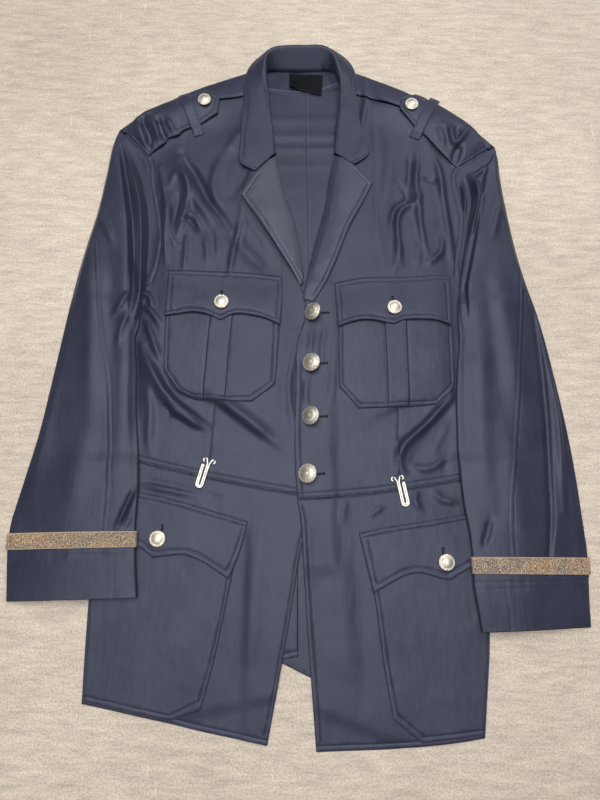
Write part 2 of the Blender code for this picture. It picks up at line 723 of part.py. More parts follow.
def add_collar(collection):
    """The stand rises from the neck seam, rolls over and falls on the shoulders."""
    rings = []
    for row in COLLAR:
        bearing = math.radians(row.bearing)
        out = Vector((math.cos(bearing), math.sin(bearing)))
        roll = Vector((row.roll_x, row.roll_y))
        edge = roll + out * row.edge_out
        behind = smooth((row.roll_z - 13) / 7)
        edge_z = lerp(left_front_top(edge.x, edge.y) + LAYER + 0.3, 3.0, behind)
        centre = (COLLAR_ROLL, row.roll_z - COLLAR_ROLL)
        profile = rolled_profile((row.seam_out, row.seam_z), centre,
                                 (row.edge_out, edge_z), COLLAR_ROLL)
        rings.append([(roll.x + out.x * o, roll.y + out.y * o, z) for o, z in profile])
    shape, _ = loft(rings, closed_ring=False)
    bmesh.ops.recalc_face_normals(shape, faces=shape.faces)
    mesh = bpy.data.meshes.new("collar")
    shape.to_mesh(mesh)
    shape.free()
    made = add_object("collar", mesh, collection, NAVY)
    wall = made.modifiers.new("Cloth", "SOLIDIFY")
    wall.thickness = CLOTH * MM
    wall.offset = -1.0
    wall.use_even_offset = False
    return made


def add_neck(collection):
    """What shows inside the neck: the back facing and a bare label."""
    plan = straight_rows(NECK_FACING, 8, 2)
    slab("neck_facing", plan, lambda x, y: LAYER, collection, INSIDE_NAVY)

    def label_low(x, y):
        curl = smooth((6 - x) / 16) * smooth((384 - y) / 12)
        return 2 * LAYER + 5.0 * curl

    plan = straight_rows(NECK_LABEL, 6, 3)
    slab("neck_label", plan, label_low, collection, BLACK_LABEL, thickness=1.0)


def pleated(rise_from, rise_to):
    """Columns of a pocket with the edges of its box pleat between them."""
    step = 0.012
    return (0, 0.14, 0.28, rise_from - step, rise_from + step, 0.5 * (rise_from + rise_to),
            rise_to - step, rise_to + step, 0.72, 0.86, 1)


def add_pockets(collection):
    pleat_from, pleat_to = 0.39, 0.58
    for name, table, top, shift in (
            ("chest_pocket_right", RIGHT_CHEST_POCKET, front_top, 0.0),
            ("chest_pocket_left", LEFT_CHEST_POCKET, left_front_top, 0.02)):
        shares = pleated(pleat_from + shift, pleat_to + shift)
        plan = straight_rows(table, shares, 2)
        low = {}
        for row in plan:
            for index, point in enumerate(row):
                raised = LAYER * 0.9 if 4 <= index <= 6 else 0.0
                low[tuple(point)] = over(top, point.x, point.y, CHEST_REACH) + raised
        slab(name, plan, lambda x, y, h=low: h[(x, y)], collection)

    for name, table, top in (("hip_pocket_right", RIGHT_HIP_POCKET, front_top),
                             ("hip_pocket_left", LEFT_HIP_POCKET, left_front_top)):
        plan = straight_rows(table, 6, 2)
        slab(name, plan, lambda x, y, t=top: over(t, x, y, HIP_REACH), collection)


def flap_plan(table, point, columns, rows):
    """A flap whose lower edge scallops on both sides of a point."""
    plan = []
    for row in range(rows + 1):
        t = row / rows
        section = Section(*(lerp(a, b, t) for a, b in zip(table[0], table[1])))
        shares = [i / columns for i in range(columns + 1)]
        points = section_points(section, shares)
        for index, share in enumerate(shares):
            if share < point:
                wave = math.sin(math.pi * share / point)
            else:
                wave = math.sin(math.pi * (share - point) / (1 - point))
            points[index].y += SCALLOP * t * t * max(wave, 0.0)
        plan.append(points)
    return plan


def add_flaps(collection):
    """Each flap starts on the front and lies over its pocket further down."""
    for name, table, point, top, layers, reach in (
            ("chest_flap_right", RIGHT_CHEST_FLAP, CHEST_POINT, front_top,
             CHEST_FLAP_LAYERS, CHEST_REACH),
            ("chest_flap_left", LEFT_CHEST_FLAP, CHEST_POINT, left_front_top,
             CHEST_FLAP_LAYERS, CHEST_REACH),
            ("hip_flap_right", RIGHT_HIP_FLAP, RIGHT_HIP_POINT, front_top,
             HIP_FLAP_LAYERS, HIP_REACH),
            ("hip_flap_left", LEFT_HIP_FLAP, LEFT_HIP_POINT, left_front_top,
             HIP_FLAP_LAYERS, HIP_REACH)):
        plan = flap_plan(table, point, 12, 5)
        low = {}
        for index, row in enumerate(plan):
            lift = smooth(index / (len(plan) - 1) / 0.45)
            for place in row:
                lifted = LAYER * layers * lift
                low[tuple(place)] = over(top, place.x, place.y, reach) + lifted
        slab(name, plan, lambda x, y, h=low: h[(x, y)], collection)


def sleeve_under(arm, x, y):
    """Underside of a sleeve: the floor, or on top of the body beside it."""
    inside = arm.toward * (x - across(arm.side, y))
    climb = smooth((inside + 34) / 14) * smooth((68 - y) / 22)
    pocket = 2 * LAYER * smooth((-130 - y) / 20)
    wrapped = smooth((34 - abs(y - arm.braid_y)) / 10)
    resting = BRAID_STAND * wrapped
    return climb * (over(front_top, x, y, 8) + pocket) + resting


def pleat_height(arm, x, y):
    """The pleat stands above the sleeve head between its edge and the outer side."""
    past = arm.toward * (across(arm.pleat, y) - x)
    return PLEAT_RISE * smooth((past + 4) / 8) * smooth((y - 20) / 60)


def tube(name, table, arm, collection, color=NAVY, head=False, around=0.0):
    """A flattened tube of cloth: an outer and an inner ring at every section.

    around is how far the tube stands off the sleeve that it is sewn round.
    """
    seam_start, seam_end = Vector(arm.armhole[0]), Vector(arm.armhole[-1])
    rings = []
    rows = [spline(table, row / 2) for row in range(2 * HEAD_SECTIONS)] if head else []
    rows += table[HEAD_SECTIONS if head else 0:]
    for row, section in enumerate(rows):
        outer = Vector((section.outer_x, section.outer_y))
        inner = Vector((section.inner_x, section.inner_y))
        width = (inner - outer).length
        ends = [0.0, 1.5 / width, 5.0 / width]
        middle = [i / ARMHOLE_ROWS for i in range(1, ARMHOLE_ROWS)]
        shares = ends + middle + [1 - e for e in reversed(ends)]
        start = smooth(row / 3.2) if head else 1.0
        lines = {"top": [], "under": [], "hollow_top": [], "hollow_under": []}
        for share in shares:
            point = outer.lerp(inner, share)
            bend = armhole_point(arm.armhole, share) - seam_start.lerp(seam_end, share)
            point += bend * max(section.curve, 0.0)
            low = sleeve_under(arm, point.x, point.y)
            swell = section.puff * math.sin(math.pi * share) ** 0.7 if 0 < share < 1 else 0.0
            stand = swell + fold_height(SLEEVE_FOLDS, point.x, point.y)
            stand += pleat_height(arm, point.x, point.y)
            edge = min(share, 1 - share) * width
            high = low + LAYER + max(stand, 0.0) * smooth((edge + 1.5) / 12)
            high = lerp(front_low(point.x, point.y), high, start)
            lines["top"].append([point.x, point.y, high + around + CLOTH])
            lines["under"].append([point.x, point.y, low - around])
            lines["hollow_top"].append([point.x, point.y, high + around])
            lines["hollow_under"].append([point.x, point.y, low - around + CLOTH])
        inward = (inner - outer).normalized()
        for end, near, sign in ((0, 1, 1), (-1, -2, -1)):
            for upper, lower in (("top", "under"), ("hollow_top", "hollow_under")):
                lines[upper][end][2] = 0.5 * (lines[upper][end][2] + lines[lower][end][2])
            way = inward * sign
            if around:
                moves = (("top", end, -around), ("top", near, -around / 2),
                         ("under", near, -around / 2), ("hollow_top", end, CLOTH - around))
            else:
                wall = CLOTH + GAP
                moves = (("hollow_top", end, wall), ("hollow_top", near, 0.8 * wall),
                         ("hollow_under", near, 0.8 * wall))
            for line, index, move in moves:
                lines[line][index][0] += way.x * move
                lines[line][index][1] += way.y * move
        rings.append((lines["top"] + lines["under"][-2:0:-1],
                      lines["hollow_top"] + lines["hollow_under"][-2:0:-1]))
    shape = bmesh.new()
    walls = []
    for side in (0, 1):
        walls.append([[shape.verts.new(Vector(p) * MM) for p in ring[side]] for ring in rings])
    count = len(walls[0][0])
    for rows in walls:
        for low_row, high_row in zip(rows, rows[1:]):
            for i in range(count):
                j = (i + 1) % count
                shape.faces.new((low_row[i], low_row[j], high_row[j], high_row[i]))
    for end in (0, -1):
        for i in range(count):
            j = (i + 1) % count
            shape.faces.new((walls[0][end][i], walls[0][end][j],
                             walls[1][end][j], walls[1][end][i]))
    return add_object(name, finish_mesh(name, shape), collection, color)


def add_sleeves(collection):
    for name, arm, sleeve, cuff, braid in (
            ("right", RIGHT_ARM, RIGHT_SLEEVE, RIGHT_CUFF, RIGHT_BRAID),
            ("left", LEFT_ARM, LEFT_SLEEVE, LEFT_CUFF, LEFT_BRAID)):
        tube("sleeve_" + name, sleeve, arm, collection, head=True)
        tube("cuff_" + name, cuff, arm, collection)
        tube("braid_" + name, braid, arm, collection, TWEED, around=BRAID_STAND)


def add_straps(collection):
    """A strap sewn into each armhole seam and the carrier that holds it down."""
    for name, strap, carrier in (("right", RIGHT_STRAP, RIGHT_CARRIER),
                                 ("left", LEFT_STRAP, LEFT_CARRIER)):
        plan = [section_points(section, 4) for section in smooth_rows(strap, 2)]
        slab("shoulder_strap_" + name, plan, lambda x, y: over(front_top, x, y, 4), collection)
        start, end = Vector(carrier[0]), Vector(carrier[1])
        side = Vector((end.y - start.y, start.x - end.x)).normalized() * CARRIER_WIDTH / 2
        plan, low = [], {}
        for share in (0, 0.06, 0.14, 0.4, 0.65, 0.78, 0.88, 1):
            middle = start.lerp(end, share)
            for point in (middle - side, middle, middle + side):
                raised = (LAYER + 0.8) * smooth(share / 0.14) * smooth((1 - share) / 0.12)
                low[tuple(point)] = over(front_top, point.x, point.y, 6) + raised
            plan.append([middle - side, middle, middle + side])
        slab("strap_carrier_" + name, plan, lambda x, y, h=low: h[(x, y)], collection)


def turned(name, profile, steps, collection, color):
    """A turned piece from its profile, top to bottom, on the Z axis."""
    shape = bmesh.new()
    corners = [shape.verts.new((radius * MM, 0.0, height * MM)) for radius, height in profile]
    for a, b in zip(corners, corners[1:]):
        shape.edges.new((a, b))
    mesh = bpy.data.meshes.new(name)
    shape.to_mesh(mesh)
    shape.free()
    made = add_object(name, mesh, collection, color, 0.35, 1.0)
    turn = made.modifiers.new("Turn", "SCREW")
    turn.axis = "Z"
    turn.steps = steps
    turn.render_steps = steps
    turn.use_merge_vertices = True
    turn.merge_threshold = 0.00005
    return made


def button_profile(diameter, height):
    """Flat back, rolled rim, groove and dome."""
    radius = diameter / 2
    return ((0, height), (radius * 0.42, height * 0.94), (radius * 0.7, height * 0.72),
            (radius * 0.84, height * 0.46), (radius * 0.93, height * 0.5),
            (radius, height * 0.34), (radius * 0.95, height * 0.12), (radius * 0.8, 0), (0, 0))


def lying_top(place):
    """The front that lies under a place away from the buttons."""
    return left_front_top if place.x > 0 else front_top


def add_buttons(collection):
    chest = LAYER * CHEST_FLAP_LAYERS + CLOTH + GAP
    hip = LAYER * HIP_FLAP_LAYERS + CLOTH + GAP
    for prefix, places, diameter, height, steps, on_top, reach in (
            ("front_button_", FRONT_BUTTONS, FRONT_BUTTON, 6.5, 16, 0.0, 8),
            ("chest_button_", CHEST_BUTTONS, SMALL_BUTTON, 5.5, 14, chest, CHEST_REACH),
            ("hip_button_", HIP_BUTTONS, SMALL_BUTTON, 5.5, 14, hip, HIP_REACH),
            ("strap_button_", STRAP_BUTTONS, SMALL_BUTTON, 5.5, 14, CLOTH + GAP, 4)):
        for number, place in enumerate(places, 1):
            profile = button_profile(diameter, height)
            button = turned(prefix + str(number), profile, steps, collection, PALE_METAL)
            top = lying_top(place)
            seat = over(top, place.x, place.y, reach) + on_top
            button.location = Vector((place.x, place.y, seat)) * MM


def arc(centre_x, centre_y, radius, start, end, steps):
    """Points of an arc, angles in degrees, without its first point."""
    points = []
    for step in range(1, steps + 1):
        angle = math.radians(lerp(start, end, step / steps))
        points.append((centre_x + radius * math.cos(angle), centre_y + radius * math.sin(angle)))
    return points


def hook_path():
    """One wire bent double: a ring at each end, the long leg, the bend and the tip.

    The rings' tops lie on the X axis, which is the hinge, and the legs run along -Y.
    """
    near = HOOK_PITCH / 2
    turn = near + HOOK_BEND
    ring_y = -HOOK_RING
    path = [(-HOOK_EYE - 0.4, ring_y - HOOK_RING)]
    path += arc(-HOOK_EYE, ring_y, HOOK_RING, -100, -360, 9)
    path += [(-near, ring_y - 5.2), (-near, -HOOK_DROP)]
    path += arc(turn, -HOOK_DROP, HOOK_BEND + HOOK_PITCH, 180, 360, 7)
    tip = turn + HOOK_BEND + near
    path += [(tip + near, -HOOK_TIP)]
    path += arc(tip, -HOOK_TIP, near, 0, 180, 4)
    path += [(turn + HOOK_BEND, -HOOK_DROP)]
    path += arc(turn, -HOOK_DROP, HOOK_BEND, 360, 180, 5)
    path += [(near, ring_y - 5.2), (HOOK_EYE - HOOK_RING, ring_y)]
    path += arc(HOOK_EYE, ring_y, HOOK_RING, 180, -80, 9)
    return path


def add_hooks(collection):
    for name, place, lean, mirrored in (("belt_hook_right", RIGHT_HOOK, RIGHT_HOOK_LEAN, True),
                                        ("belt_hook_left", LEFT_HOOK, LEFT_HOOK_LEAN, False)):
        path = [(-x if mirrored else x, y) for x, y in hook_path()]
        turn = Matrix.Rotation(math.radians(lean), 2)
        spots = [turn @ Vector(p) + Vector(place) for p in path]
        top = lying_top(Point(*place))
        seat = max(over(top, p.x, p.y, 8) for p in spots)
        curve = bpy.data.curves.new(name, "CURVE")
        curve.dimensions = "3D"
        curve.bevel_depth = WIRE / 2 * MM
        curve.bevel_resolution = 1
        curve.use_fill_caps = True
        curve.render_resolution_u = 0
        line = curve.splines.new("POLY")
        line.points.add(len(path) - 1)
        for point, (x, y) in zip(line.points, path):
            point.co = (x * MM, y * MM, 0.0, 1.0)
        hook = bpy.data.objects.new(name, curve)
        curve.materials.append(plain_material(name + "_finish", STEEL, 0.25, 1.0))
        collection.objects.link(hook)
        hook.location = Vector((place[0], place[1], seat + WIRE / 2)) * MM
        hook.rotation_euler.z = math.radians(lean)


def build():
    for thing in list(bpy.data.objects):
        bpy.data.objects.remove(thing, do_unlink=True)
    garment = bpy.data.collections.new("military_uniform_jacket")
    bpy.context.scene.collection.children.link(garment)
    add_backs(garment)
    add_fronts(garment)
    add_lapels(garment)
    add_collar(garment)
    add_neck(garment)
    add_pockets(garment)
    add_flaps(garment)
    add_sleeves(garment)
    add_straps(garment)
    add_buttons(garment)
    add_hooks(garment)


build()
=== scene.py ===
"""Looks of the military uniform jacket: fine cloth over the CAD solids, sewing, metal.

Tables are in millimetres in the row frame: +X the wearer's left, +Y the collar, +Z up.
"""
import math
from collections import namedtuple

import bmesh
import bpy
import numpy as np
from mathutils import Matrix, Vector, geometry
from mathutils.bvhtree import BVHTree


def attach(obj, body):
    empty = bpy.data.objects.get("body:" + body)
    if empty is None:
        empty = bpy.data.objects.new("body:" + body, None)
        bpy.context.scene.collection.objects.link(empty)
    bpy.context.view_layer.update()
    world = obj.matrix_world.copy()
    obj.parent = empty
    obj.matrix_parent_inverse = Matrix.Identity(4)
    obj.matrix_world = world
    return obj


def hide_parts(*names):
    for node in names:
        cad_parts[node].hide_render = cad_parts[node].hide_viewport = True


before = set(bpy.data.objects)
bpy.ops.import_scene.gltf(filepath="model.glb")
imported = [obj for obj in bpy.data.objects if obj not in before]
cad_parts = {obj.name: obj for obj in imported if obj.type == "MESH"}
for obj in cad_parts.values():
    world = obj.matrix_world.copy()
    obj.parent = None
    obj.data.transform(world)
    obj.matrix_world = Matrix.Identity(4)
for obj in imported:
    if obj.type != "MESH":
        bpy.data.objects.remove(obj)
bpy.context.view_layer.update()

MM = 0.001
CLOTH = 1.3             # a layer of cloth in the CAD part
GAP = 0.3               # left between layers in place of their thread
LAYER = CLOTH + GAP
FOLD_DEPTH = 1.8        # how much deeper than in the tables the creases are made
FOLD_WIDTH = 0.8        # and how much narrower
EDGE_ROLL = 1.4         # how far in a panel's edge is rounded
GROOVE_DEPTH = 0.75     # of a stitched line
GROOVE_WIDTH = 0.75
PUCKER = 0.30           # unevenness beside a stitched line
LINE_STEP = 2.2         # between a panel's points along a seam
CELL = 0.6              # a panel's points are no closer than that
TOP_STITCH = 6.5        # from an edge to its row of stitches
FRONT_START = 0.0535    # share of the armhole seam where the front begins
LOWEST = 0.35           # no panel's upper side goes below this
SEE_FROM = 200.0        # height that heights are looked up from
FLOOR_HALF = 3.0        # metres

Crease = namedtuple("Crease", "rise left right points")
SleeveSection = namedtuple("SleeveSection", "outer_x outer_y inner_x inner_y curve puff")
CollarSection = namedtuple(
    "CollarSection", "roll_x roll_y bearing seam_out seam_z roll_z edge_out")
Arm = namedtuple("Arm", "armhole side pleat inner braid_y toward")


def rows(kind, table):
    return tuple(kind(*values) for values in table)


# ---------------------------------------------------------------- measured lines

RIGHT_SIDE = ((72, -190), (35, -197), (-9, -205), (-71, -212), (-134, -218),
              (-187, -221), (-253, -224), (-296, -225), (-359, -224), (-397, -223))
LEFT_SIDE = ((78, 203), (30, 204), (-71, 205), (-142, 206), (-209, 207),
             (-274, 207), (-328, 206), (-386, 199), (-429, 193))
RIGHT_ARMHOLE = ((-238, 303), (-217, 281), (-197, 257), (-192, 225),
                 (-185, 190), (-178, 145), (-181, 105), (-190, 73))
LEFT_ARMHOLE = ((262, 277), (235, 258), (209, 238), (210, 205),
                (214, 172), (209, 138), (204, 107), (203, 79))
RIGHT_FRONT_EDGE = ((-184, 23), (-130, 32), (-60, 33), (42, 31), (66, 9), (97, 4), (167, -6),
                    (214, -20), (259, -36), (276, -45))
LEFT_FRONT_EDGE = ((-186.5, 0), (-130, -3), (-61, -2), (-2, 0), (30, 8), (51, 9.5), (90, 14.5),
                   (120, 21), (167, 34), (214, 42), (246, 49), (260, 59), (278, 66))

COLLAR_ROLL = 2.3
COLLAR = rows(CollarSection, (
    (-29, 266.5, 228, 9, 1.6, 6.0, 38),
    (-30, 273, 219, 11, 1.6, 6.5, 46),
    (-31, 283, 213, 14, 1.8, 7.0, 54),
    (-33, 301, 202, 17, 2.5, 7.8, 46),
    (-36, 324, 188, 19, 3.5, 9.0, 39),
    (-39, 350, 180, 19, 4.0, 11.0, 34),
    (-42, 376, 172, 14, 3.5, 14.0, 31),
    (-43, 396, 158, 2, 2.5, 18.0, 25),
    (-40, 411, 135, -13, 1.8, 21.0, 18),
    (-29, 418, 108, -19, 1.8, 23.0, 17),
    (-8, 420, 93, -21, 1.8, 23.5, 17),
    (12, 420, 90, -21, 1.8, 23.5, 17),
    (32, 420, 84, -21, 1.8, 23.5, 17),
    (46, 413, 48, -15, 1.8, 21.5, 20),
    (53, 396, 20, 0, 2.5, 18.0, 25),
    (58, 374, 0, 12, 3.5, 13.5, 22),
    (57, 350, -2, 16, 4.0, 10.5, 23),
    (54, 324, -8, 17, 3.5, 9.0, 29),
    (51, 300, -16, 16, 2.5, 7.8, 38),
    (50, 284, -20, 14, 1.8, 7.0, 48),
    (49.5, 275, -27, 11, 1.6, 6.5, 42),
    (49, 267, -38, 9, 1.6, 6.0, 31)))

RIGHT_SLEEVE = rows(SleeveSection, (
    (-238, 303, -190, 73, 1.0, 0),
    (-246, 275, -190, 64, 0.8, 3),
    (-250, 235, -190, 54, 0.55, 5),
    (-257, 180, -190, 40, 0.3, 6),
    (-266, 135, -192, 20, 0.12, 6),
    (-274, 90, -195, 2, 0, 6),
    (-282, 30, -191, -34, 0, 6),
    (-290, -38, -188, -78, 0, 6),
    (-299, -108, -182, -128, 0, 5),
    (-309, -160, -178, -172, 0, 4),
    (-318, -208, -178, -210, 0, 3),
    (-319.5, -236, -176.5, -235, 0, 2.5)))
LEFT_SLEEVE = rows(SleeveSection, (
    (262, 277, 203, 79, 1.0, 0),
    (265, 255, 202, 70, 0.8, 3),
    (266, 222, 198, 58, 0.55, 5),
    (270, 175, 196, 42, 0.3, 6),
    (276, 125, 195, 22, 0.12, 6),
    (283, 86, 195, 2, 0, 6),
    (296, 28, 190, -36, 0, 6),
    (306, -38, 186, -80, 0, 6),
    (314, -108, 184, -138, 0, 5),
    (318, -165, 186, -190, 0, 4),
    (319.5, -218, 190, -228, 0, 3),
    (319.5, -262, 191, -263, 0, 2.5)))
RIGHT_CUFF = rows(SleeveSection, (
    (-319.5, -236.3, -176.5, -235.3, 0, 2.5),
    (-317.5, -258, -175, -256, 0, 3),
    (-314, -296, -171, -292, 0, 3.5)))
LEFT_CUFF = rows(SleeveSection, (
    (319.5, -262.3, 191, -263.3, 0, 2.5),
    (317, -280, 190.5, -285, 0, 3),
    (315, -322, 196, -327, 0, 3.5)))
RIGHT_BRAID = rows(SleeveSection, (
    (-319.5, -224, -177, -222, 0, 2.5),
    (-319.4, -242, -176.3, -239, 0, 2.5)))
LEFT_BRAID = rows(SleeveSection, (
    (319.5, -250, 190.7, -249.5, 0, 2.5),
    (319.2, -268, 190.9, -267, 0, 2.5)))
RIGHT_PLEAT = ((296, -241), (272, -233), (234, -227), (191, -219), (162, -213),
               (121, -208), (75, -203), (60, -203))
LEFT_PLEAT = ((272, 261), (244, 247), (210, 239), (196, 235), (150, 226),
              (111, 217), (75, 208), (60, 207))
RIGHT_ARM = Arm(RIGHT_ARMHOLE, RIGHT_SIDE, RIGHT_PLEAT,
                [(row.inner_y, row.inner_x) for row in RIGHT_SLEEVE + RIGHT_CUFF], -232, 1)
LEFT_ARM = Arm(LEFT_ARMHOLE, LEFT_SIDE, LEFT_PLEAT,
               [(row.inner_y, row.inner_x) for row in LEFT_SLEEVE + LEFT_CUFF], -258.5, -1)
BRAID_STAND = CLOTH + 0.5

# Each crease: its rise, below 0 for a trough, its width left and right of a line, the line.
BODY_CREASES = rows(Crease, (
    (6.0, 34, 34, ((-234, 292), (-158, 328), (-78, 362))),
    (6.0, 34, 34, ((256, 268), (170, 318), (86, 360))),
    # right chest
    (-3.4, 6, 5, ((-152, 266), (-144, 250), (-134, 236), (-116, 200), (-102, 180),
                  (-88, 157))),
    (-2.2, 11, 9, ((-92, 162), (-75, 136), (-55, 112), (-36, 94))),
    (2.6, 8, 8, ((-156, 258), (-146, 232), (-132, 200), (-117, 177), (-100, 153))),
    (1.6, 8, 7, ((-99, 262), (-108, 232), (-107, 200), (-98, 172))),
    (2.6, 5, 6, ((-168, 215), (-158, 236), (-146, 230), (-141, 209), (-143, 178),
                 (-153, 138))),
    (-1.6, 4, 4, ((-155, 212), (-153, 196), (-156, 176), (-160, 156))),
    (2.4, 3.5, 3.5, ((-164, 204), (-164, 178), (-162, 156), (-158, 136), (-148, 129))),
    (-2.6, 3, 3, ((-148, 164), (-141, 169), (-133, 162), (-127, 150))),
    (1.4, 4, 4, ((-150, 172), (-140, 177), (-129, 168), (-122, 154))),
    (1.6, 3.5, 3.5, ((-140, 150), (-140, 125), (-141, 92))),
    (1.1, 5, 4, ((-118, 146), (-114, 128), (-113, 104))),
    (0.9, 3, 4, ((-103, 152), (-99, 134), (-100, 112))),
    (1.8, 4, 4, ((-72, 160), (-79, 134), (-84, 92))),
    (0.9, 2, 4, ((-71, 191), (-74, 151), (-78, 121), (-83, 89))),
    (3.2, 4, 4, ((-181, 247), (-173, 213), (-169, 191), (-168, 160), (-166, 131),
                 (-164, 108))),
    (1.6, 10, 9, ((-73, 307), (-83, 285), (-94, 266))),
    (-1.4, 7, 7, ((-66, 300), (-64, 262), (-72, 226), (-84, 200))),
    (1.0, 8, 8, ((-76, 206), (-64, 175), (-44, 142), (-26, 112))),
    # left chest
    (0.7, 5, 2.5, ((100, 338), (102, 276), (101, 220), (100, 175), (104, 131),
                   (109, 100))),
    (2.8, 4, 5, ((158, 202), (152, 191), (134, 182), (127, 164), (127, 142),
                 (129, 119), (130, 102))),
    (-2.0, 6, 4, ((128, 224), (137, 211), (142, 197), (126, 184), (121, 164),
                  (123, 140))),
    (2.4, 4, 4.5, ((158, 276), (157, 247), (154, 229), (154, 197), (156, 166),
                   (160, 134), (166, 107))),
    (2.0, 5, 4, ((164, 106), (174, 114), (182, 125), (184, 149))),
    (-2.0, 3, 3, ((162, 226), (171, 227), (181, 221))),
    (1.4, 3.5, 3.5, ((159, 215), (158, 191), (158, 166))),
    (1.6, 5, 5, ((184, 257), (187, 229), (187, 197))),
    (2.4, 5, 6, ((173, 276), (181, 252), (186, 224), (189, 193), (192, 157),
                 (194, 123), (196, 98))),
    (-1.2, 4, 4, ((195, 220), (198, 184), (200, 153), (201, 123))),
    (-1.8, 6, 5, ((147, 266), (147, 238), (143, 208))),
    (1.6, 12, 10, ((118, 295), (121, 257), (115, 215), (110, 175))),
    (1.2, 5, 5, ((124, 131), (125, 112), (119, 93))),
    (1.1, 5, 5, ((151, 136), (152, 119), (149, 100))),
    (1.8, 4, 5, ((89, 381), (93, 356), (90, 331), (86, 304), (88, 285))),
    (1.6, 4, 4, ((100, 376), (110, 363), (116, 348), (132, 341))),
    # right waist
    (5.0, 5, 11, ((-187, -3), (-177, -24), (-164, -47), (-151, -65), (-133, -82),
                  (-111, -96), (-95, -105))),
    (-3.0, 7, 6, ((-163, -29), (-154, -51), (-139, -67), (-116, -76), (-96, -85),
                  (-82, -99), (-67, -111))),
    (-4.6, 12, 17, ((-136, -71), (-114, -79), (-93, -90), (-67, -113), (-32, -136),
                    (-5, -152))),
    (3.4, 9, 8, ((-98, -66), (-76, -81), (-52, -99), (-26, -121))),
    (3.0, 5, 7, ((-151, -75), (-140, -87), (-124, -97), (-107, -109))),
    (-2.4, 3, 3, ((-155, -77), (-150, -84), (-147, -90))),
    (-2.6, 6, 5, ((-146, -86), (-131, -99), (-113, -109), (-98, -112))),
    (-1.8, 9, 8, ((-140, -128), (-119, -131), (-98, -129))),
    (1.6, 6, 6, ((-178, -43), (-172, -79), (-171, -115), (-168, -136))),
    (3.6, 4, 4, ((-194, 48), (-184, 46), (-175, 37), (-166, 23))),
    (3.4, 3.5, 3.5, ((-195, 61), (-187, 66), (-179, 55), (-176, 44))),
    (3.2, 4, 4, ((-187, 35), (-180, 20), (-173, 3), (-163, -22))),
    (1.2, 4, 5, ((2, 18), (-4, -18), (-9, -51), (-6, -91), (-3, -109))),
    # between the front buttons
    (1.0, 4, 4, ((18, 20), (17, 3), (15, -14))),
    (0.9, 4, 4, ((33, 23), (30, -4), (28, -36))),
    (0.8, 5, 5, ((47, 23), (44, -26), (40, -78))),
    (0.9, 4, 4, ((13, -43), (10, -64), (12, -80))),
    # left waist
    (4.0, 5, 6, ((188, -60), (182, -68), (166, -84), (150, -100), (124, -124), (117, -143),
                 (121, -155))),
    (-3.4, 6, 8, ((182, -76), (172, -95), (160, -111), (144, -132), (128, -150))),
    (-3.4, 3, 4, ((184, -94), (181, -101), (174, -116), (165, -132))),
    (-4.0, 17, 15, ((167, -77), (151, -82), (126, -93), (83, -118), (49, -136),
                    (27, -148))),
    (1.8, 4, 5, ((128, -146), (147, -152), (166, -143), (181, -135))),
    (-1.2, 6, 6, ((181, -98), (171, -136), (169, -165))),
    # below the waist seam
    (1.6, 4, 4, ((137, -176), (132, -188), (140, -199))),
    (1.8, 4, 5, ((154, -176), (162, -186), (181, -190))),
    (1.2, 3, 3, ((82, -206), (89, -199), (97, -194))),
    (1.0, 5, 5, ((54, -186), (52, -199), (50, -213))),
    (-2.2, 3, 3, ((-175, -164), (-162, -167), (-149, -170), (-132, -174), (-111, -178))),
    (1.8, 5, 4, ((-175, -169), (-154, -174), (-132, -178), (-113, -182))),
    (-1.2, 3, 3, ((-101, -180), (-94, -184), (-85, -184))),
    # skirts
    (0.9, 12, 12, ((-40, -205), (-45, -280), (-52, -380))),
    (0.8, 14, 12, ((40, -215), (48, -300), (52, -400))),
    (-0.8, 10, 10, ((66, -215), (70, -300), (74, -390)))))

